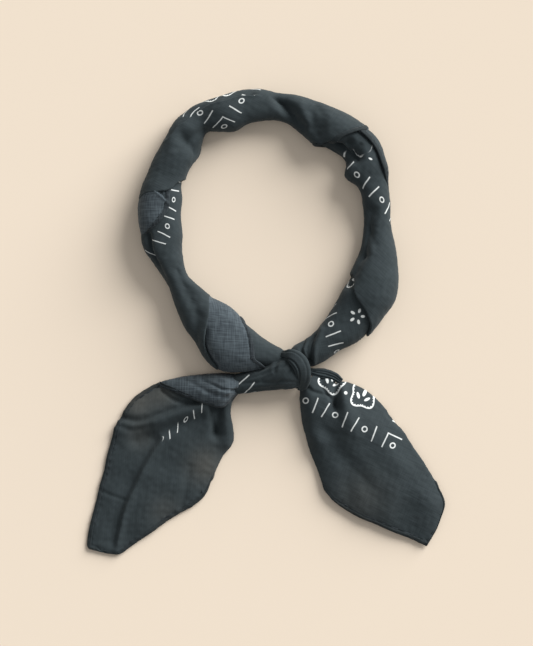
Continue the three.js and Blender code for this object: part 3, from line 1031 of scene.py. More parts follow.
@dataclass
class Strand(Piece):
    """A strand of the knot: cloth gathered into a soft cord.

    Attributes:
        rows: middles, widths and thicknesses along the strand.
        pleats: lengthwise folds, as turn, depth, width in degrees and twist along it.
        steps: how many rows it has.
        sides: how many points a section has.
        swell: how strong the broad unevenness is, in mm.
    """

    rows: Table = field(default_factory=lambda: Table("x y z wide thick", [[0] * 5, [1] * 5]))
    pleats: tuple[tuple[float, float, float, float], ...] = ()
    steps: int = 60
    sides: int = 73
    swell: float = 0.18

    def grid(self) -> ClothGrid:
        """Makes the strand's skin, from end to end.

        Returns:
            The cloth.
        """
        middles = self.rows.rows[:, :3]
        placed = self.rows.measured(middles)
        share = np.linspace(0, 1, self.steps)
        centre = np.stack([placed.read("share", share, name) for name in "xyz"], axis=-1)
        ahead = np.gradient(centre, axis=0)
        ahead /= np.linalg.norm(ahead, axis=-1, keepdims=True)
        side = np.stack([-ahead[:, 1], ahead[:, 0], 0 * share], axis=-1)
        side /= np.linalg.norm(side, axis=-1, keepdims=True)
        up = np.cross(ahead, side)
        wide = placed.read("share", share, "wide")[:, None]
        thick = placed.read("share", share, "thick")[:, None]
        turn = np.linspace(-90, 270, self.sides)[None, :]
        pressed = np.zeros((self.steps, self.sides))
        for at, depth, width, twist in self.pleats:
            middle = at + twist * (share[:, None] - 0.5)
            off = (turn - middle + 180) % 360 - 180
            pressed += depth * np.exp(-((off / width) ** 2))
        across = (wide / 2 - pressed) * squared(np.cos(turn * DEGREE), ROLL.corner)
        rise = (thick / 2 - pressed) * squared(np.sin(turn * DEGREE), ROLL.corner)
        points = centre[:, None] + across[..., None] * side[:, None] + rise[..., None] * up[:, None]
        points = relief(points, self.creases, self.seed, self.swell)
        points[:, -1] = points[:, 0]
        heading = np.arctan2(ahead[:, 1], ahead[:, 0])[:, None] + 0 * turn
        flat = charted(points, heading, self.place)
        return ClothGrid(points, flat, closed=True)


@dataclass(frozen=True)
class TailHem:
    """Which part of a tail's side edges is hemmed, as shares of the tail's length.

    Attributes:
        near: where the hem of the near edge shows, from and to.
        far: the same along the far edge.
    """

    near: tuple[float, float]
    far: tuple[float, float]


@dataclass
class Tail(Piece):
    """A corner of the square, spread flat.

    Attributes:
        rows: a point on each side edge, and how high the middle and the edges stand.
        hem: which parts of its edges are hemmed.
        mirrored: whether the near edge is on the right of the way from the knot.
        spacing: the size of a face, in mm.
        base: how high an edge without a rim stands, in mm.
        full: how fully the middle rises; 1 is a plain wave, and less is fuller.
        hem_rows: how far from an edge the points within its hem are, in mm.
        narrow: where the tail is narrower than this, in mm, its hems' points draw together.
        sets_in: where the hem rises, in shares of the tail's length past the hem's start.
        unhemmed: how much further in its cloth counts where it has no hem, in mm.
        seam: which of hem_rows the stitches follow.
        seam_ends: how many rows the stitches stop short of the hem's start and of the corner.
        swell: how strong the broad unevenness is, in mm.
    """

    rows: Table = field(default_factory=lambda: Table("nearX nearY", [[0, 0], [1, 1]]))
    hem: TailHem = TailHem((0, 1), (0, 1))
    mirrored: bool = False
    spacing: float = 0.75
    base: float = 1.2
    full: float = 0.7
    hem_rows: tuple[float, ...] = (0.0, 0.3, 0.6, 1.0, 1.4, 1.65, 1.9, 2.15, 2.4, 2.7, 3.1)
    narrow: float = 14.0
    sets_in: Spot = (-0.3, 0.1)
    unhemmed: float = 3.0
    seam: int = 6
    seam_ends: tuple[int, int] = (3, 8)
    swell: float = 0.3

    def middles(self) -> Array:
        """The middle of each row, in mm."""
        sides = [[self.rows.column(side + axis) for axis in "XY"] for side in ("near", "far")]
        return np.mean(sides, axis=0).T

    def surface(self, along: Array, across: Array) -> Array:
        """Points of the tail's upper side, before its creases.

        Args:
            along: shares of the way to the corner.
            across: shares of the way from the near edge to the far one.

        Returns:
            Points in mm.
        """
        placed = self.rows.measured(self.middles())
        value = {name: placed.read("share", along, name) for name in self.rows.columns}
        x = value["nearX"] + (value["farX"] - value["nearX"]) * across
        y = value["nearY"] + (value["farY"] - value["nearY"]) * across
        z = self.base + value["rim"] + value["bow"] * self.bowed(across)
        return np.stack([x, y, z], axis=-1)

    def bowed(self, across: Array) -> Array:
        """How far the cloth has risen at shares of the way across, 0 to 1."""
        return np.sin(math.pi * np.clip(across, 0, 1)) ** self.full

    def shares(self) -> tuple[Array, Array]:
        """Sets out the points, closer together within the hems.

        Returns:
            Shares of the way along and across.
        """
        placed = self.rows.measured(self.middles())
        length = float(np.linalg.norm(np.diff(self.middles(), axis=0), axis=1).sum())
        close = np.array(self.hem_rows)
        ends = 1 - close[::-1] / length
        steps = round(length / self.spacing)
        along = np.concatenate([np.linspace(0, ends[0], steps)[:-1], ends])
        value = {name: placed.read("share", along, name) for name in self.rows.columns}
        width = np.hypot(value["farX"] - value["nearX"], value["farY"] - value["nearY"])
        edge = close[None, :] / np.maximum(width, self.narrow)[:, None]
        count = round(float(width.max()) / self.spacing)
        middle = np.linspace(0, 1, count)[None, 1:-1]
        inner = edge[:, -1:] + (1 - 2 * edge[:, -1:]) * middle
        across = np.concatenate([edge, inner, 1 - edge[:, ::-1]], axis=1)
        return along, across

    def grid(self) -> ClothGrid:
        """Lays the tail out with its folds, hems and turned edges.

        Returns:
            The cloth.
        """
        along, across = self.shares()
        full = along[:, None] + 0 * across
        points = self.surface(full, across)
        if self.mirrored:
            points = points[:, ::-1]
        points = relief(points, self.creases, self.seed, self.swell)
        flat = self.place.laid(points)
        points, band = self.hemmed(points, full)
        off = normals_of(points)
        grid = points, flat, band
        for end in (0, -1):
            grid = FOLD.under(grid, off[:, end], end, True)
        points, flat, band = grid
        points[..., 2] = np.maximum(points[..., 2], CLOTH_THICK + LOWEST)
        return ClothGrid(points, flat, hem=band)

    def hemmed(self, points: Array, along: Array) -> tuple[Array, Array]:
        """Raises the hems along the side edges and the corner, and keeps their stitch lines.

        Args:
            points: the grid, in mm.
            along: shares of the way to the corner.

        Returns:
            The new grid, and how much each point belongs to a hem.
        """
        first, last = (-1, 0) if self.mirrored else (0, -1)
        shown = []
        for column, part in ((first, self.hem.near), (last, self.hem.far)):
            away = np.linalg.norm(points - points[:, column][:, None], axis=-1)
            held = eased(along, part[0] + self.sets_in[0], part[0] + self.sets_in[1])
            shown.append(away + self.unhemmed * (1 - held))
        tip = np.linalg.norm(points - points[-1:], axis=-1)
        away = np.minimum(np.minimum(*shown), tip)
        points = HEM.raised(points, away, np.array([0.0, 0.0, 1.0]))
        off = normals_of(points)
        start, stop = self.seam_ends
        for side, part in ((first, self.hem.near), (last, self.hem.far)):
            column = self.seam if side == 0 else -1 - self.seam
            rows = slice(int(len(points) * part[0]) + start, -stop)
            self.hems.append(np.concatenate([points[rows, column], off[rows, column]], axis=1))
        return points, HEM.band(away)


@dataclass
class TailTurn(Piece):
    """The edge of a tail that has turned over, paler back outwards.

    Attributes:
        tail: the tail that it belongs to.
        limits: how far across it reaches and how high it bulges, along the tail.
        steps: how many rows and columns it has.
        layer: how far it stands off the tail, in mm.
        opened: how much more that is where it reaches far across, in mm.
        wide: how far across that is, as a share of the tail's width.
        emerges: where it comes up out of the knot, from and to, as shares of the way along.
        clear: what it keeps off the tail even at the knot, in mm.
        lowest: how near the table it may come, in mm.
        swell: how strong the broad unevenness is, in mm.
    """

    tail: Optional[Tail] = None
    limits: Table = field(default_factory=lambda: Table("along limit rise", [[0, 0, 0], [1, 1, 1]]))
    steps: tuple[int, int] = (60, 46)
    layer: float = 0.3
    opened: float = 1.4
    wide: float = 0.3
    emerges: Spot = (-0.01, 0.06)
    clear: float = 0.2
    lowest: float = 0.1
    swell: float = 0.25

    def grid(self) -> ClothGrid:
        """Lays the turned cloth, from its free hem to the fold at the tail's edge.

        Returns:
            The cloth.
        """
        rows, columns = self.steps
        along = np.linspace(0, self.limits.rows[-1, 0], rows)[:, None]
        share = np.linspace(1, 0, columns)[None, :]
        limit = self.limits.read("along", along, "limit")
        rise = self.limits.read("along", along, "rise")
        points = self.tail.surface(along + 0 * share, 1 - limit * share)
        opened = self.opened * eased(limit, 0.0, self.wide)
        stand = rise * self.tail.bowed(share) + self.layer + opened
        points[..., 2] += eased(along, *self.emerges) * stand + self.clear
        points = relief(points, self.creases, self.seed, self.swell)
        away = np.linalg.norm(points - points[:, :1], axis=-1)
        points, band = HEM.raised(points, away, normals_of(points)), HEM.band(away)
        flat = self.place.laid(points)
        edge_off = normals_of(points)[:, 0]
        points, flat, band = FOLD.under((points, flat, band), edge_off, 0, True)
        points[..., 2] = np.maximum(points[..., 2], self.lowest)
        return ClothGrid(points, flat, hem=band)


def linear(colour: str) -> tuple[float, float, float, float]:
    """Turns a colour into the values that shaders use.

    Args:
        colour: the sRGB colour in hex.

    Returns:
        Its linear red, green and blue, and an alpha of 1.
    """
    values = [int(colour[i : i + 2], 16) / 255 for i in (1, 3, 5)]
    r, g, b = [v / 12.92 if v <= 0.04045 else ((v + 0.055) / 1.055) ** 2.4 for v in values]
    return r, g, b, 1.0


class Nodes:
    """A node tree, filled one node after another."""

    def __init__(self, tree: bpy.types.NodeTree, prefix: str = "") -> None:
        """Starts with no nodes.

        Args:
            tree: the tree to fill.
            prefix: what the types of its nodes start with.
        """
        self.tree, self.prefix = tree, prefix
        tree.nodes.clear()

    def add(self, kind: str, *inputs: Any, out: int = 0, **settings: Any) -> Any:
        """Adds a node with its settings and links.

        Args:
            kind: the node's type, without the prefix.
            *inputs: a socket to link or a value for each input, and None to leave one.
            out: which of its outputs is wanted.
            **settings: the node's own settings; one that starts with in_ names an input,
                or counts to it where several have the same name.

        Returns:
            The wanted output socket, or the node where it has none.
        """
        node = self.tree.nodes.new(self.prefix + kind)
        given = dict(enumerate(inputs))
        for name, value in settings.items():
            if name.startswith("in_"):
                key = name[3:].replace("_", " ")
                given[int(key) if key.isdigit() else key] = value
            else:
                setattr(node, name, value)
        for key, value in given.items():
            if value is None:
                continue
            if isinstance(value, bpy.types.NodeSocket):
                self.tree.links.new(value, node.inputs[key])
            else:
                node.inputs[key].default_value = value
        return node.outputs[out] if len(node.outputs) else node


class Shader(Nodes):
    """A material and its nodes."""

    def __init__(self, name: str) -> None:
        """Starts an empty material.

        Args:
            name: the material's name.
        """
        self.material = bpy.data.materials.new(name)
        self.material.use_nodes = True
        super().__init__(self.material.node_tree, "ShaderNode")


@dataclass(frozen=True)
class Border:
    """The sizes of the printed border, in mm; depths are counted from the cut edge.

    Attributes:
        line: depth of the middle of the row of rings and bars.
        pitch: from one ring to the next.
        ring: the ring's radius.
        bar: half of a bar's length.
        bar_at: from the ring's middle to a bar.
        slant: how far a bar leans, for each mm of its length.
        stroke: half of the printed line's width.
        last: how far along a side the row runs, from the side's middle.
        bracket: depth of the two bars that meet in a corner.
        corner_ring: depth of the ring inside them, from both sides.
        repeat: from one flower to the next.
        leaf_line: depth of the leaves' middles.
        leaf_at: from the middle of a pair of leaves to each of them.
        leaf: the leaf's radius.
        scallops: how many scallops a leaf has.
        scallop: how far they swing the leaf's outline in and out.
        scallops_turn: where they start, in radians.
        teeth: how many teeth there are for each radian round the leaf.
        tooth: twice the length of a tooth.
        sprig: from a leaf's middle up to its upper petal, down and aside to its lower ones.
        sprig_reach: the reach of the upper petal and of the lower ones.
        sprig_turn: how far the lower ones lean, in radians.
        slim: how many times as long as wide a sprig's petal is.
        flower_line: depth of the flowers' middles.
        petals: how many petals a flower has.
        petal_at: from a flower's middle to the middle of a petal.
        petal: half of a petal's length.
        petal_slim: how many times as long as wide it is.
        dot_line: depth of the dots between two leaves.
        dot: the dot's radius.
        wanders: how many times in a metre the drawn lines wander.
        wander: how far they wander from side to side at most.
        soft: how far the ink's edge spreads to each side.
        worn: how strong the ink is where it is worn most.
    """

    line: float = 47.0
    pitch: float = 19.55
    ring: float = 1.5
    bar: float = 4.8
    bar_at: float = 6.4
    slant: float = 0.09
    stroke: float = 0.34
    last: float = 222.0
    bracket: float = 51.0
    corner_ring: float = 45.4
    repeat: float = 78.2
    leaf_line: float = 65.0
    leaf_at: float = 10.4
    leaf: float = 7.6
    scallops: float = 4.0
    scallop: float = 1.1
    scallops_turn: float = 2.2
    teeth: float = 4.5
    tooth: float = 1.5
    sprig: tuple[float, float, float] = (1.7, 1.4, 2.9)
    sprig_reach: tuple[float, float] = (2.4, 1.9)
    sprig_turn: float = 0.7
    slim: float = 2.3
    flower_line: float = 63.5
    petals: int = 5
    petal_at: float = 3.5
    petal: float = 1.35
    petal_slim: float = 1.65
    dot_line: float = 61.6
    dot: float = 1.0
    wanders: float = 150.0
    wander: float = 0.6
    soft: float = 0.2
    worn: float = 0.78


class Print:
    """The print, drawn as distances in mm that are below zero where there is ink."""

    def __init__(self, s: Shader, flat: Any, border: Border) -> None:
        """Finds how deep inside the edge and how far along its side each place is.

        Args:
            s: the material's nodes.
            flat: the place on the square, in metres.
            border: the sizes of the print.
        """
        self.s, self.border = s, border
        wobble = s.add("TexNoise", flat, None, border.wanders, 1.0, 0.5, out=1)
        shift = s.add("VectorMath", wobble, (0.5, 0.5, 0.5), operation="SUBTRACT")
        shift = s.add("VectorMath", shift, in_Scale=border.wander * MM, operation="SCALE")
        place = s.add("VectorMath", flat, shift, operation="ADD")
        place = s.add("VectorMath", place, operation="ABSOLUTE")
        place = s.add("VectorMath", place, in_Scale=1 / MM, operation="SCALE")
        x = s.add("SeparateXYZ", place)
        y = x.node.outputs[1]
        far = s.add("Math", x, y, operation="MAXIMUM")
        self.depth = s.add("Math", CLOTH_SIDE / 2, far, operation="SUBTRACT")
        self.run = s.add("Math", x, y, operation="MINIMUM")

    def nearest(self, offset: float, pitch: float) -> Any:
        """How far along the side the nearest of a row of places is, with its sign.

        Args:
            offset: the first place, in mm.
            pitch: from one place to the next, in mm.

        Returns:
            The distance.
        """
        s = self.s
        moved = s.add("Math", self.run, offset, operation="SUBTRACT")
        turns = s.add("Math", moved, pitch, operation="DIVIDE")
        whole = s.add("Math", turns, operation="ROUND")
        return s.add("Math", whole, -pitch, moved, operation="MULTIPLY_ADD")

    def length(self, u: Any, v: Any) -> Any:
        """The length of two distances at right angles."""
        both = self.s.add("CombineXYZ", u, v)
        return self.s.add("VectorMath", both, operation="LENGTH", out=1)

    def outline(self, distance: Any, width: float) -> Any:
        """The distance to a line of half the width given, drawn along a form's edge."""
        off = self.s.add("Math", distance, operation="ABSOLUTE")
        return self.s.add("Math", off, width, operation="SUBTRACT")

    def together(self, *forms: Any) -> Any:
        """Puts forms together.

        Args:
            *forms: the distances to several forms.

        Returns:
            The distance to them all as one.
        """
        total = forms[0]
        for one in forms[1:]:
            total = self.s.add("Math", total, one, operation="MINIMUM")
        return total

    def rings_and_bars(self) -> Any:
        """Draws the row of rings, with a bar on each side of every ring.

        Returns:
            The distance to it.
        """
        s, b = self.s, self.border
        u = self.nearest(0.0, b.pitch)
        v = s.add("Math", self.depth, b.line, operation="SUBTRACT")
        ring = s.add("Math", self.length(u, v), b.ring, operation="SUBTRACT")
        side = s.add("Math", u, operation="SIGN")
        height = s.add("Math", v, side, operation="MULTIPLY")
        leaning = s.add("Math", height, b.slant, u, operation="MULTIPLY_ADD")
        off = self.outline(leaning, b.bar_at)
        sides = self.outline(off, b.stroke), self.outline(v, b.bar)
        bar = s.add("Math", *sides, operation="MAXIMUM")
        row = self.together(self.outline(ring, b.stroke), bar)
        past = s.add("Math", self.run, b.last, operation="SUBTRACT")
        return s.add("Math", row, past, operation="MAXIMUM")

    def corner(self) -> Any:
        """Draws the two bars that meet in each corner, and the ring between them.

        Returns:
            The distance to them.
        """
        s, b = self.s, self.border
        across = s.add("Math", CLOTH_SIDE / 2, self.run, operation="SUBTRACT")
        forms = []
        for level, reach in ((across, self.depth), (self.depth, across)):
            off = s.add("Math", level, b.bracket, operation="SUBTRACT")
            along = s.add("Math", reach, b.bracket - b.bar + b.stroke, operation="SUBTRACT")
            bar = self.outline(off, b.stroke), self.outline(along, b.bar)
            forms.append(s.add("Math", *bar, operation="MAXIMUM"))
        u = s.add("Math", self.depth, b.corner_ring, operation="SUBTRACT")
        v = s.add("Math", across, b.corner_ring, operation="SUBTRACT")
        ring = s.add("Math", self.length(u, v), b.ring, operation="SUBTRACT")
        return self.together(*forms, self.outline(ring, b.stroke))

    def leaves(self) -> Any:
        """Draws pairs of scalloped leaves, toothed inside their outline, with a sprig in each.

        Returns:
            The distance to them.
        """
        s, b = self.s, self.border
        pair = s.add("Math", self.nearest(b.repeat / 2, b.repeat), operation="ABSOLUTE")
        u = s.add("Math", pair, b.leaf_at, operation="SUBTRACT")
        v = s.add("Math", self.depth, b.leaf_line, operation="SUBTRACT")
        angle = s.add("Math", v, u, operation="ARCTAN2")
        wave = s.add("Math", angle, b.scallops, b.scallops_turn, operation="MULTIPLY_ADD")
        wave = s.add("Math", wave, operation="COSINE")
        rim = s.add("Math", wave, b.scallop, b.leaf, operation="MULTIPLY_ADD")
        edge = s.add("Math", self.length(u, v), rim, operation="SUBTRACT")
        teeth = s.add("Math", angle, b.teeth, operation="MULTIPLY")
        teeth = s.add("Math", teeth, 0.5, operation="PINGPONG")
        reach = s.add("Math", teeth, -b.tooth, -b.stroke, operation="MULTIPLY_ADD")
        inside = s.add("Math", reach, edge, operation="SUBTRACT")
        outside = s.add("Math", edge, b.stroke, operation="SUBTRACT")
        leaf = s.add("Math", outside, inside, operation="MAXIMUM")
        up, down, out = b.sprig
        high = s.add("Math", v, up, operation="SUBTRACT")
        low = s.add("Math", v, down, operation="ADD")
        upper = self.petal(u, high, 0.0, b.sprig_reach[0])
        lower = self.petal(self.outline(u, out), low, b.sprig_turn, b.sprig_reach[1])
        return self.together(leaf, upper, lower)

    def petal(self, u: Any, v: Any, turn: float, reach: float) -> Any:
        """Draws a slim petal round a place.

        Args:
            u: the distance from the place along the border.
            v: the same across the border.
            turn: how far the petal leans, in radians.
            reach: half of its length, in mm.

        Returns:
            The distance to it.
        """
        place = self.s.add("CombineXYZ", u, v)
        place = self.s.add("VectorRotate", place, in_Angle=turn)
        slim = (self.border.slim, 1.0, 1.0)
        place = self.s.add("VectorMath", place, slim, operation="MULTIPLY")
        far = self.s.add("VectorMath", place, operation="LENGTH", out=1)
        return self.s.add("Math", far, reach, operation="SUBTRACT")

    def flowers(self) -> Any:
        """Draws small flowers between the pairs of leaves, and a dot in each pair.

        Returns:
            The distance to them.
        """
        s, b = self.s, self.border
        u = self.nearest(0.0, b.repeat)
        v = s.add("Math", self.depth, b.flower_line, operation="SUBTRACT")
        angle = s.add("Math", v, u, operation="ARCTAN2")
        sector = 2 * math.pi / b.petals
        turns = s.add("Math", angle, sector, operation="DIVIDE")
        whole = s.add("Math", turns, operation="ROUND")
        off = s.add("Math", whole, -sector, angle, operation="MULTIPLY_ADD")
        far = self.length(u, v)
        out = s.add("Math", s.add("Math", off, operation="COSINE"), far, operation="MULTIPLY")
        out = s.add("Math", out, b.petal_at, operation="SUBTRACT")
        aside = s.add("Math", s.add("Math", off, operation="SINE"), far, operation="MULTIPLY")
        aside = s.add("Math", aside, b.petal_slim, operation="MULTIPLY")
        petals = s.add("Math", self.length(out, aside), b.petal, operation="SUBTRACT")
        low = s.add("Math", self.depth, b.dot_line, operation="SUBTRACT")
        dot = self.length(self.nearest(b.repeat / 2, b.repeat), low)
        dot = s.add("Math", dot, b.dot, operation="SUBTRACT")
        return self.together(petals, dot)

    def ink(self, sheen_and_wear: Any) -> Any:
        """Draws the whole print, worn a little by a noise.

        Args:
            sheen_and_wear: the noise.

        Returns:
            The mask, 1 where there is ink.
        """
        s, b = self.s, self.border
        forms = self.rings_and_bars(), self.corner(), self.leaves(), self.flowers()
        forms = self.together(*forms)
        mask = s.add("MapRange", forms, b.soft, -b.soft, 0.0, 1.0)
        bare = s.add("Attribute", attribute_name="Bare", out=2)
        kept = s.add("Math", 1.0, bare, operation="SUBTRACT")
        worn = s.add("MapRange", sheen_and_wear, 0.3, 0.6, b.worn, 1.0)
        mask = s.add("Math", mask, kept, operation="MULTIPLY")
        return s.add("Math", mask, worn, operation="MULTIPLY")


@dataclass(frozen=True)
class PrintedCotton:
    """Plain-weave cotton, dyed dark and printed in white: matt, with a dry, faintly furry sheen.

    Attributes:
        ground: the dye, which gives the eye a blue-green charcoal.
        light: the same where the nap catches the light.
        ink: the white print, a little grey where the weave shows through.
        sheer: the brownish tone where one layer alone lies over the pale surface.
        border: the printed border.
        patches: how many noise patches lie in a metre; they lay a painted sheen of the nap on the
            cloth's tone and wear the print.
        weave: how much the gaps between the threads darken it.
        hem: how bright the turned edge is beside the rest.
        relief: how strongly the threads stand out in the light.
    """

    ground: str = "#2a3336"
    light: str = "#363f43"
    ink: str = "#dfe4e4"
    sheer: str = "#4e504e"
    border: Border = Border()
    patches: float = 90.0
    weave: float = 0.16
    hem: float = 0.62
    relief: float = 0.25

    def made(self) -> bpy.types.Material:
        """Mixes the dye, the weave and the print.

        Returns:
            The material.
        """
        s = Shader("printed plain-weave cotton")
        flat = s.add("UVMap", uv_map="Cloth")
        weave = woven(s, flat)
        # Painted sheen: where this noise is high the ground takes its lit tone; where it is low the
        # print wears
        sheen_and_wear = s.add("TexNoise", flat, None, self.patches, 3.0, 0.55)
        mix = {"data_type": "RGBA", "out": 2}
        tone = s.add("Mix", sheen_and_wear, in_6=linear(self.ground), in_7=linear(self.light), **mix)
        sheer = s.add("Attribute", attribute_name="Sheer", out=2)
        cloth = s.add("Mix", sheer, in_6=tone, in_7=linear(self.sheer), **mix)
        shaded = s.add("Mix", self.weave, in_6=cloth, in_7=weave, blend_type="MULTIPLY", **mix)
        hem = s.add("Attribute", attribute_name="Hem", out=2)
        deep = s.add("MapRange", hem, 0.0, 1.0, 1.0, self.hem)
        hemmed = s.add("VectorMath", shaded, in_Scale=deep, operation="SCALE")
        ink = Print(s, flat, self.border).ink(sheen_and_wear)
        colour = s.add("Mix", ink, in_6=hemmed, in_7=linear(self.ink), **mix)
        bump = s.add("Bump", self.relief, THREAD_RISE * MM, in_Height=weave)
        surface = s.add(
            "BsdfPrincipled",
            in_Base_Color=colour,
            in_Roughness=0.88,
            in_Specular_IOR_Level=0.25,
            in_Sheen_Weight=0.08,
            in_Sheen_Roughness=0.5,
            in_Sheen_Tint=(0.75, 0.82, 0.86, 1.0),
            in_Normal=bump,
        )
        s.add("OutputMaterial", surface)
        return s.material


@dataclass(frozen=True)
class CottonBack:
    """The same cotton from behind, where the dye is thinner and each thread shows paler.

    Attributes:
        thread: the paler threads, greyer and bluer than the printed face.
        between: the darker places between them.
        hem: how bright the turned edge is beside the rest.
        relief: how strongly the threads stand out in the light.
    """

    thread: str = "#4e585e"
    between: str = "#353d43"
    hem: float = 0.45
    relief: float = 0.35

    def made(self) -> bpy.types.Material:
        """Mixes the threads and the gaps between them.

        Returns:
            The material.
        """
        s = Shader("reverse of plain-weave cotton")
        flat = s.add("UVMap", uv_map="Cloth")
        weave = woven(s, flat)
        between, thread = linear(self.between), linear(self.thread)
        colour = s.add("Mix", weave, in_6=between, in_7=thread, data_type="RGBA", out=2)
        hem = s.add("Attribute", attribute_name="Hem", out=2)
        deep = s.add("MapRange", hem, 0.0, 1.0, 1.0, self.hem)
        colour = s.add("VectorMath", colour, in_Scale=deep, operation="SCALE")
        bump = s.add("Bump", self.relief, THREAD_RISE * MM, in_Height=weave)
        surface = s.add(
            "BsdfPrincipled",
            in_Base_Color=colour,
            in_Roughness=0.9,
            in_Specular_IOR_Level=0.2,
            in_Sheen_Weight=0.1,
            in_Sheen_Roughness=0.5,
            in_Sheen_Tint=(0.8, 0.86, 0.92, 1.0),
            in_Normal=bump,
        )
        s.add("OutputMaterial", surface)
        return s.material


def woven(s: Shader, flat: Any) -> Any:
    """Draws a plain weave with its thick and thin threads.

    Args:
        s: the material's nodes.
        flat: the place on the square, in metres.

    Returns:
        A value that is 0 in the gaps and 1 on the threads.
    """
    threads = []
    close, far = 1 / (THREAD_PITCH * MM), 1 / (SLUB_LENGTH * MM)
    for stretch in ((close, far), (far, close)):
        place = s.add("Mapping", flat, in_Scale=(*stretch, 1.0))
        threads.append(s.add("TexNoise", place, None, 1.0, 1.0, 0.5))
    both = s.add("Math", threads[0], threads[1], operation="ADD")
    return s.add("MapRange", both, 0.75, 1.25, 0.0, 1.0)


@dataclass(frozen=True)
class Thread:
    """Dark polyester sewing thread: a touch glossier than the cotton it sinks into.

    Attributes:
        colour: the dyed thread.
    """

    colour: str = "#1d2529"

    def made(self) -> bpy.types.Material:
        """Makes the thread's finish.

        Returns:
            The material.
        """
        s = Shader("dark sewing thread")
        surface = s.add("BsdfPrincipled", in_Base_Color=linear(self.colour), in_Roughness=0.6)
        s.add("OutputMaterial", surface)
        return s.material


@dataclass(frozen=True)
class PaleBoard:
    """Smooth painted board: warm, matt and plain, so that the eye rests on the cloth.

    Attributes:
        colour: the paint.
    """

    colour: str = "#efe1cf"

    def made(self) -> bpy.types.Material:
        """Makes the board's finish.

        Returns:
            The material.
        """
        s = Shader("pale painted board")
        surface = s.add(
            "BsdfPrincipled",
            in_Base_Color=linear(self.colour),
            in_Roughness=0.95,
            in_Specular_IOR_Level=0.05,
        )
        s.add("OutputMaterial", surface)
        return s.material


@dataclass
class Finishes:
    """The materials that the pieces share.

    Attributes:
        printed: the printed face.
        back: the face behind it.
        thread: the thread of the hems.
    """

    printed: bpy.types.Material = field(default_factory=lambda: PrintedCotton().made())
    back: bpy.types.Material = field(default_factory=lambda: CottonBack().made())
    thread: bpy.types.Material = field(default_factory=lambda: Thread().made())


@dataclass
class Stitching:
    """The stitches along the hems, laid along their lines by a node tree.

    Attributes:
        length: one stitch, in mm.
        pitch: from one stitch to the next, in mm.
        thread: the thread's radius, in mm.
        proud: how far its middle stands off the cloth, as a share of that radius.
        sides: how many sides the thread has.
    """

    length: float = 1.7
    pitch: float = 2.5
    thread: float = 0.14
    proud: float = 0.4
    sides: int = 6

    def tree(self, finish: bpy.types.Material) -> bpy.types.NodeTree:
        """Makes the node tree that sets a stitch on each point of the lines.

        Args:
            finish: the thread.

        Returns:
            The tree.
        """
        tree = bpy.data.node_groups.new("Hem stitches", "GeometryNodeTree")
        face = tree.interface
        face.new_socket("Geometry", in_out="INPUT", socket_type="NodeSocketGeometry")
        for name in ("Stitch length", "Pitch", "Thread radius"):
            face.new_socket(name, in_out="INPUT", socket_type="NodeSocketFloat")
        face.new_socket("Geometry", in_out="OUTPUT", socket_type="NodeSocketGeometry")
        g = Nodes(tree)
        lines, length, pitch, thread = g.add("NodeGroupInput").node.outputs[:4]
        lines = g.add("GeometryNodeMeshToCurve", lines)
        lines = g.add("GeometryNodeResampleCurve", lines, mode="LENGTH", in_Length=pitch)
        places = g.add("GeometryNodeCurveToPoints", lines, mode="EVALUATED")
        ahead = places.node.outputs["Tangent"]
        facing = g.add("FunctionNodeAlignRotationToVector", in_Vector=ahead, axis="Z")
        form = {"in_Vertices": self.sides, "in_Side_Segments": 3, "in_Fill_Segments": 1}
        stitch = g.add("GeometryNodeMeshCylinder", in_Radius=thread, in_Depth=length, **form)
        laid = g.add("GeometryNodeInstanceOnPoints", places, in_Instance=stitch, in_Rotation=facing)
        real = g.add("GeometryNodeRealizeInstances", laid)
        dressed = g.add("GeometryNodeSetMaterial", real, in_Material=finish)
        g.add("NodeGroupOutput", dressed)
        return tree

    def build(self, pieces: Sequence[Piece], finish: bpy.types.Material) -> None:
        """Lays the stitches along each hem.

        Args:
            pieces: the cloth, with the lines of its hems.
            finish: the thread.
        """
        places, edges = [], []
        for piece in pieces:
            for line in piece.hems:
                start = len(places)
                lifted = line[:, :3] + line[:, 3:] * self.thread * self.proud
                places.extend(((lifted + ORIGIN) * MM).tolist())
                edges.extend((k, k + 1) for k in range(start, len(places) - 1))
        mesh = bpy.data.meshes.new("hem_lines")
        mesh.from_pydata(places, edges, [])
        seams = bpy.data.objects.new("hem_stitches", mesh)
        bpy.context.scene.collection.objects.link(seams)
        nodes = seams.modifiers.new("Stitches", "NODES")
        nodes.node_group = self.tree(finish)
        sizes = {
            "Stitch length": self.length,
            "Pitch": self.pitch,
            "Thread radius": self.thread,
        }
        for item in nodes.node_group.interface.items_tree:
            if item.name in sizes:
                nodes[item.identifier] = sizes[item.name] * MM
        graph = bpy.context.evaluated_depsgraph_get()
        baked = bpy.data.meshes.new_from_object(seams.evaluated_get(graph))
        seams.modifiers.clear()
        seams.data = baked
        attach(seams, "root")
        log.info("%s: %d faces", seams.name, len(baked.polygons))


def folds(rows: Sequence[Sequence[float]]) -> tuple[Crease, ...]:
    """Straight creases, each from x1 y1 to x2 y2 with its width and rise, in mm."""
    return tuple(
        Crease(((x1, y1), (x2, y2)), rise=rise, width=width)
        for x1, y1, x2, y2, width, rise in rows
    )


def curved(rise: float, width: float, *places: Spot) -> Crease:
    """A crease along places in the picture, with its height and its width in mm."""
    return Crease(spots(*places), rise=rise, width=width)


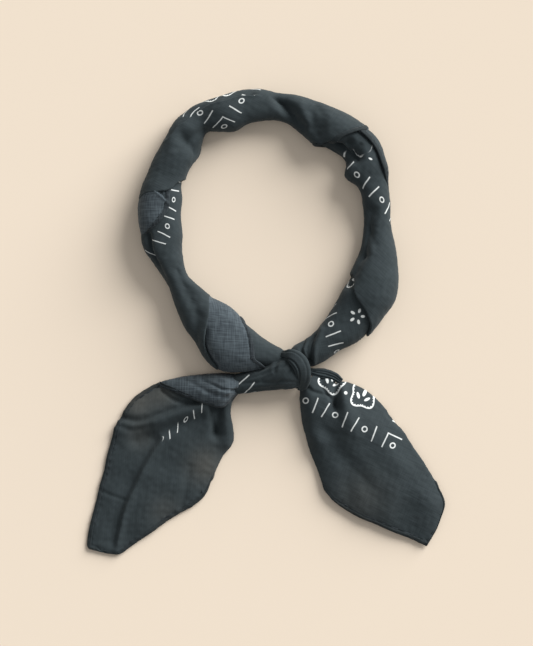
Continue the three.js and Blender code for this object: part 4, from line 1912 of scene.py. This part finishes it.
# Hollows pressed into the top of the roll, as its solids have them, then its finer creases
ROLL_CREASES = (
    *folds(
        [
            [-50, 111, -40, 101, 4.6, -3.4],
            [10, 132, 21, 116, 4, -3.4],
            [26, 126, 30, 112, 4.5, -2.4],
            [37, 104, 53, 99, 3.5, -5],
            [62, 66, 57, 42, 4, -2.6],
            [56, 40, 49, 24, 4, -2.2],
            [-41, 4, -44, -13, 3.8, -2.4],
            [-52, 30, -44, 12, 4, -1.6],
        ]
    ),
    curved(-3.4, 1.9, (148, 236), (151, 250), (157, 265), (164, 280)),
    curved(-1.4, 2.6, (205, 131), (192, 139), (178, 149)),
    curved(-2.8, 2.6, (276, 98), (284, 108), (290, 122), (292, 136)),
    curved(-0.9, 2.6, (315, 104), (322, 116), (322, 128)),
    curved(0.9, 3.0, (300, 104), (306, 116), (306, 132)),
    curved(-0.8, 2.6, (366, 228), (371, 236), (375, 245)),
    curved(0.7, 2.0, (183, 270), (190, 284), (207, 296)),
)

# Where the rolled edge of the top stretch ends over the layer along its outer side
OUTER_STEP = Crease(
    spots(
        (164.2, 142.6), (169.4, 138), (178.3, 126.5), (186, 122), (194.2, 115),
        (209.5, 106), (224.8, 101.6), (240.2, 97.1), (258, 97.1),
    ),
    rise=0.35,
    width=1.0,
    step=2.3,
    fade=8.0,
)

LEFT_FOLDS = (
    *folds(
        [
            [-36, -50, -88, -62, 6, 2.2],
            [-40, -57, -78, -71, 4, -2.2],
            [-28, -49, -30, -66, 3.5, -4.2],
            [-23.5, -50, -24, -72, 4, 2],
        ]
    ),
    Crease(
        spots((116.5, 550), (120.5, 530), (125.5, 510), (134.5, 489), (149, 460), (163.6, 438)),
        rise=0.9,
        width=2.6,
        step=2.8,
        fade=9.0,
        sharp=3.2,
    ),
    curved(-0.6, 2.5, (189, 467), (186, 487), (182, 507)),
    curved(-2.0, 2.2, (122, 418), (140, 420.5), (158, 415), (178, 408), (198, 402)),
    curved(-1.7, 1.4, (163, 391), (173, 399), (185, 402.5), (198, 399)),
    curved(-0.9, 1.8, (116, 424), (132, 430), (150, 426)),
    curved(-1.6, 1.6, (213, 404), (212, 418), (216, 434)),
    curved(-0.5, 1.2, (100, 490.5), (112, 496), (124.5, 500.5)),
)

RIGHT_FOLDS = (
    *folds(
        [
            [33, -38, 42, -56, 5, -1.2],
            [40.6, -39, 41.8, -51, 2.9, -3.8],
            [42, -38, 52, -66, 6, 2.6],
            [24, -46, 32, -72, 5, 1.8],
            [30, -60, 60, -96, 5, -1.4],
            [60, -60, 98, -108, 7, 1.2],
        ]
    ),
    curved(-2.6, 1.5, (335.7, 381), (337, 392), (335.5, 405)),
    curved(2.2, 3.0, (312, 376), (322, 379), (333, 384)),
    curved(-1.0, 1.3, (306, 386), (314, 392), (328, 394)),
    curved(-1.1, 1.2, (320, 378), (324, 388), (331, 398)),
    curved(0.6, 6.0, (400, 470), (390, 500), (385, 520)),
    curved(-0.8, 5.0, (330, 450), (345, 470), (350, 500)),
    curved(-0.7, 1.6, (388, 415), (394, 421), (399, 425)),
    curved(-0.5, 2.8, (317, 429), (334, 435), (350, 436)),
)

UPPER_TURN_ROWS = Table(
    "at radius under",
    [
        [81.5, 76.6, 6],
        [84, 74.2, 0],
        [86, 70.8, -4],
        [88, 67.6, -8],
        [92, 63.2, -12],
        [96.5, 60.6, -12],
        [101, 60.3, -12],
        [105, 61, -12],
        [109, 61.8, -12],
    ],
)
OUTER_HEM_ROWS = Table(
    "at radius under",
    [
        [224, 77, -14],
        [228, 77.6, -16],
        [232, 78, -16],
        [237, 77.6, -14],
        [244, 76.2, -10],
        [250, 76.2, -4],
        [255, 76.6, 6],
    ],
)
WRAP_ROWS = Table(
    "x y z wide thick",
    [
        [9.8, -19.6, 8.6, 4.6, 5],
        [12, -19.8, 13.4, 6.8, 5],
        [15.2, -20.2, 17.6, 9, 4.6],
        [18.8, -22.8, 19.6, 10, 4.2],
        [21.4, -27.2, 19.4, 10, 4],
        [22.2, -32, 16.8, 9.4, 4],
        [21.4, -36.4, 11.6, 8.2, 4.4],
        [20.2, -39.2, 7, 6, 4.4],
    ],
)
LOBE_ROWS = Table(
    "x y z wide thick",
    [
        [22, -30.4, 8.6, 13, 11],
        [17.5, -30.2, 9.6, 18.6, 16],
        [13, -30.2, 10, 20, 18.8],
        [8.6, -30.8, 9.6, 19.4, 18.2],
        [4.4, -32.2, 8.6, 17, 16],
        [-0.8, -33.5, 7.6, 15.2, 14.2],
        [-6.8, -34.8, 6.7, 13.8, 12.4],
        [-11.6, -35.8, 6, 13.2, 11],
        [-16.4, -36.8, 5.4, 12.2, 9.8],
        [-21.5, -37.8, 5, 10.8, 8.6],
    ],
)
TAIL_BACK_ROWS = Table(
    "x y z wide thick",
    [
        [26.4, -29.2, 6.4, 3.6, 4.4],
        [30.5, -30.2, 5.6, 5.6, 5],
        [36, -31.2, 5, 6.2, 5],
        [41, -32.8, 4.6, 5.6, 4.6],
        [45, -35.4, 4, 3.6, 3.4],
    ],
)
LEFT_TAIL_ROWS = Table(
    "nearX nearY farX farY bow rim",
    [
        [-17.2, -43.4, -16, -31.6, 7, 1.4],
        [-21, -48, -23, -30.8, 7.5, 1.2],
        [-21.8, -54, -31, -30.6, 7.5, 0.8],
        [-20.6, -63.4, -40, -31.2, 7, 0.6],
        [-20.4, -69.4, -48.4, -32, 6.5, 0.5],
        [-23, -75.4, -56.6, -34, 6, 0.5],
        [-26.6, -80.6, -64, -36.2, 5.6, 0.5],
        [-30.2, -87.4, -72.2, -40, 5.2, 0.5],
        [-33.2, -93.4, -80, -46, 4.8, 0.5],
        [-35, -99.4, -86, -54.4, 4.4, 0.5],
        [-38, -104.8, -90.8, -64.6, 4, 0.5],
        [-44.6, -110.4, -94.2, -74.8, 3.8, 0.5],
        [-52, -114.4, -96.8, -85.6, 3.4, 0.4],
        [-60.2, -119.8, -99.8, -97.6, 3, 0.4],
        [-68.6, -125.2, -102.6, -108.4, 2.4, 0.3],
        [-77, -131.2, -105.2, -119.2, 1.8, 0.3],
        [-83.6, -136, -107, -128.2, 1.2, 0.2],
        [-89, -139, -107.4, -134.2, 0.7, 0],
        [-97.4, -138.6, -106.4, -136.2, 0.3, 0],
    ],
)
RIGHT_TAIL_ROWS = Table(
    "nearX nearY farX farY bow rim",
    [
        [20.4, -39.4, 28, -32.4, 7.4, 2],
        [20.6, -45, 35.4, -34.4, 8.4, 1.6],
        [20.8, -52.6, 42, -36.2, 9, 1.2],
        [21.6, -59.4, 48.6, -36.2, 9.2, 0.9],
        [23.4, -67.4, 54.6, -38.2, 9, 0.7],
        [26, -76, 61.2, -41.8, 8.2, 0.6],
        [29.4, -85.4, 67.8, -47.8, 7.4, 1.0],
        [33.6, -95.6, 73.8, -55, 6.6, 1.4],
        [39, -105.2, 79.8, -62.2, 5.8, 1.8],
        [46, -111.6, 85.8, -71.2, 5.2, 2.0],
        [55.2, -116.6, 91.6, -80.2, 4.4, 2.0],
        [66, -121, 97, -88.6, 3.6, 1.8],
        [77.4, -125.8, 102.4, -98.2, 2.8, 1.5],
        [87, -129.8, 106.8, -107.8, 2, 1.1],
        [94, -133, 104.8, -117.4, 1.2, 0.8],
        [96.4, -134.2, 99.6, -129.4, 0.4, 0.6],
    ],
)
LEFT_TURN_ROWS = Table(
    "along limit rise",
    [
        [0.0, 0.9, 3.4],
        [0.045, 0.86, 4.2],
        [0.09, 0.75, 4.2],
        [0.14, 0.56, 3.4],
        [0.19, 0.36, 2.2],
        [0.235, 0.17, 1.0],
        [0.275, 0.03, 0.2],
    ],
)


def cloth_pieces() -> list[Piece]:
    """Sets out the pieces, from the left of the knot round the ring and down to the tails.

    Returns:
        The pieces, in that order.
    """
    left_arm = RollStretch(
        "left_arm",
        shown=0.0,
        edges=(LEFT_KNOT, LOWER_HEM),
        lifts=(0.0, -0.9),
        ends=(End.SUNK, End.UNDER),
    )
    lower_turn = RollStretch(
        "lower_turn",
        side=Side.BACK,
        edges=(LOWER_HEM, LOWER_FOLD),
        lifts=(0.5, -0.4),
        ends=(End.HEM, End.UNDER),
        creases=(curved(-2.2, 3.0, (204.3, 332), (202.9, 346), (207, 359), (215.7, 369)),),
    )
    left_roll = RollStretch(
        "left_roll",
        edges=(LOWER_FOLD, UPPER_FOLD),
        lifts=(0.0, -1.4),
        ends=(End.FOLD, End.UNDER),
        place=PrintPlace(spot(168.2, 226.8), (58.65, -233.0), -71.4, 1.2, 1.05, 0.016),
        plain=((*spot(146, 238), 4.4), (*spot(154, 247), 2.4)),
        creases=(curved(1.0, 1.3, (153.6, 250), (158, 264), (165.5, 280)),),
    )
    upper_turn = OuterLayer(
        "upper_turn",
        side=Side.BACK,
        rows=UPPER_TURN_ROWS,
        carrier=left_roll,
        tapers=(9.0, 0.01),
        creases=(
            Crease(
                spots((154, 190), (162, 197), (169.5, 205)),
                rise=0.5,
                width=0.9,
                step=2.0,
                fade=9.0,
            ),
        ),
    )
    top_roll = RollStretch(
        "top_roll",
        edges=(UPPER_FOLD, MOUTH),
        lifts=(0.5, 0.6),
        ends=(End.FOLD, End.HEM),
        place=PrintPlace(spot(224.4, 127.6), (234.6, -234.6), 36.0, 1.1, 1.0, spread=-0.15),
        creases=(OUTER_STEP,),
    )
    right_roll = RollStretch(
        "right_roll",
        edges=(MOUTH, RIGHT_FOLD),
        lifts=(-1.6, 0.7),
        ends=(End.UNDER, End.FOLD),
        place=PrintPlace(spot(356.3, 175.6), (117.25, -233.0), 42.2, 0.905, 1.05),
        shown=70.0,
        row=99.5,
        plain=(
            (*spot(340, 140), 8), (*spot(353, 137), 8), (*spot(362, 147), 5.6),
            (*spot(380, 160), 4), (*spot(385, 172), 8),
        ),
        creases=(
            curved(-3.2, 3.0, (314, 147), (325, 149), (336, 149), (348, 144)),
            curved(-2.0, 2.4, (318, 156), (331, 158), (342, 163)),
            curved(0.9, 1.0, (343.8, 146.3), (347, 151), (350, 156)),
            curved(-1.0, 1.3, (345, 165), (355, 151), (360, 146)),
        ),
    )
    outer_hem = OuterLayer(
        "outer_hem", rows=OUTER_HEM_ROWS, carrier=right_roll, shown=0.0, tapers=(0.01, 11.0)
    )
    right_arm = RollStretch(
        "right_arm",
        edges=(RIGHT_FOLD, RIGHT_KNOT),
        lifts=(-1.3, 0.0),
        ends=(End.UNDER, End.SUNK),
        place=PrintPlace(spot(330.5, 323.7), (156.35, -233.0), 75.5),
        creases=(
            curved(-2.2, 1.0, (318, 325), (312.6, 338), (310.9, 348), (310.7, 365)),
            curved(-1.8, 0.9, (311.5, 334), (307.6, 344), (307.2, 352), (309.3, 361)),
            curved(-1.8, 0.9, (304, 340), (301, 349), (303, 356), (307, 361)),
            curved(1.0, 1.6, (322, 330), (316, 345), (313, 362)),
        ),
    )
    wrap = Strand(
        "knot_wrap",
        shown=0.0,
        rows=WRAP_ROWS,
        held="gathered",
        pleats=((146, 0.9, 6, 0), (117, 1.0, 6, 10), (62, 0.3, 8, 26)),
    )
    lobe = Strand(
        "knot_lobe",
        rows=LOBE_ROWS,
        held="gathered",
        place=PrintPlace(spot(243.4, 380), (52.25, -233.0), -123.0, lean=0.268),
        plain=((*spot(236, 371), 4),),
        pleats=((75, 0.7, 7, 50), (110, 0.6, 7, -20), (140, 0.5, 8, 30), (40, 0.5, 8, 0)),
        creases=(
            curved(-1.2, 1.1, (284, 355), (278, 358.4), (275.6, 364), (274, 371)),
            curved(-0.6, 0.9, (284, 358), (270, 364), (257, 372)),
            curved(-0.6, 1.0, (287, 362), (276, 372), (262, 380)),
            curved(-0.6, 0.9, (292, 368), (284, 378), (272, 386)),
        ),
    )
    left_tail = Tail(
        "left_tail",
        rows=LEFT_TAIL_ROWS,
        creases=LEFT_FOLDS,
        held="laid",
        place=PrintPlace(spot(185.8, 419.4), (195.45, -233.0), -39.3, 1.04, 1.6, lean=-0.5),
        shown=49.0,
        row=177.0,
        hem=TailHem((0.5, 1), (0.2, 1)),
        shade=(
            (*spot(137, 401), 9, 0.95),
            (*spot(162, 393), 8, 0.7),
            (*spot(140, 436), 8, 0.45),
            (*spot(206, 466), 10, 0.95),
            (*spot(165, 512), 9, 0.4),
        ),
    )
    left_tail_turn = TailTurn(
        "left_tail_turn",
        side=Side.BACK,
        tail=left_tail,
        limits=LEFT_TURN_ROWS,
        creases=(
            curved(-1.3, 1.0, (203.6, 379.5), (213, 384), (222, 388.6), (236, 390.5)),
            curved(-0.9, 1.4, (186, 379), (200, 387), (216, 395), (226, 396)),
            curved(0.9, 1.1, (236, 386), (225.5, 394), (214, 401)),
            curved(0.8, 1.4, (212, 375), (224, 380), (237, 383)),
        ),
    )
    right_tail = Tail(
        "right_tail",
        rows=RIGHT_TAIL_ROWS,
        creases=RIGHT_FOLDS,
        held="laid",
        place=PrintPlace(spot(392.5, 445.4), (234.6, -234.6), 25.8),
        hem=TailHem((0.55, 1), (0.93, 1)),
        mirrored=True,
        shade=((*spot(362, 500), 16, 0.4),),
    )
    back = Strand(
        "right_tail_back",
        shown=0.0,
        rows=TAIL_BACK_ROWS,
        held="folded",
        pleats=((62, 0.9, 9, 10), (92, 0.8, 9, 14), (125, 0.9, 9, 6)),
    )
    return [
        left_arm, lower_turn, left_roll, upper_turn, top_roll, outer_hem, right_roll,
        right_arm, wrap, lobe, left_tail, left_tail_turn, right_tail, back,
    ]


@dataclass
class Stage:
    """The floor, the soft light and the camera straight above.

    Attributes:
        lens: the camera's focal length, in mm.
        sensor: the width of its picture, in mm.
        height: the camera's height over the table, in metres.
        aim: the place in plan that the camera looks down on, in metres.
        floor: the floor's side, in metres.
        key: the direction that the light comes from.
        key_tint: the light's colour.
        power: the light's strength, in watts for each square metre.
        softness: how wide the light is, in degrees.
        sky: the strength of the light from all round.
        sky_tint: its colour.
    """

    lens: float = 180.0
    sensor: float = 36.0
    height: float = 1.943
    aim: Spot = (0.00056, -0.001)
    floor: float = 8.0
    key: tuple[float, float, float] = (0.64, 0.64, 0.35)
    key_tint: tuple[float, float, float] = (1.0, 0.985, 0.965)
    power: float = 5.55
    softness: float = 44.0
    sky: float = 0.39
    sky_tint: tuple[float, float, float] = (0.98, 0.97, 0.96)

    def build(self) -> None:
        """Makes all three, and keeps the colours of the render plain."""
        bpy.ops.mesh.primitive_plane_add(size=self.floor)
        floor = bpy.context.object
        floor.name = "floor"
        floor.data.materials.append(PaleBoard().made())
        self.light()
        world = bpy.data.worlds.new("studio")
        world.use_nodes = True
        glow = world.node_tree.nodes["Background"].inputs
        glow["Color"].default_value = (*self.sky_tint, 1.0)
        glow["Strength"].default_value = self.sky
        bpy.context.scene.world = world
        data = bpy.data.cameras.new("camera")
        data.lens, data.sensor_width = self.lens, self.sensor
        camera = bpy.data.objects.new("camera", data)
        camera.location = (*self.aim, self.height)
        bpy.context.scene.collection.objects.link(camera)
        bpy.context.scene.camera = camera
        bpy.context.scene.view_settings.view_transform = "Standard"

    def light(self) -> None:
        """Hangs a broad soft light up and to the right of the bandana."""
        data = bpy.data.lights.new("key", "SUN")
        data.energy, data.angle = self.power, self.softness * DEGREE
        data.color = self.key_tint
        lamp = bpy.data.objects.new("key", data)
        lamp.rotation_euler = (-Vector(self.key)).to_track_quat("-Z", "Y").to_euler()
        bpy.context.scene.collection.objects.link(lamp)


def main() -> None:
    """Builds the scene."""
    logging.basicConfig(level=logging.INFO, format="%(message)s")
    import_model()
    Stage().build()
    finishes = Finishes()
    pieces = cloth_pieces()
    for piece in pieces:
        piece.build(finishes)
    Stitching().build(pieces, finishes.thread)


if __name__ == "__main__":
    main()
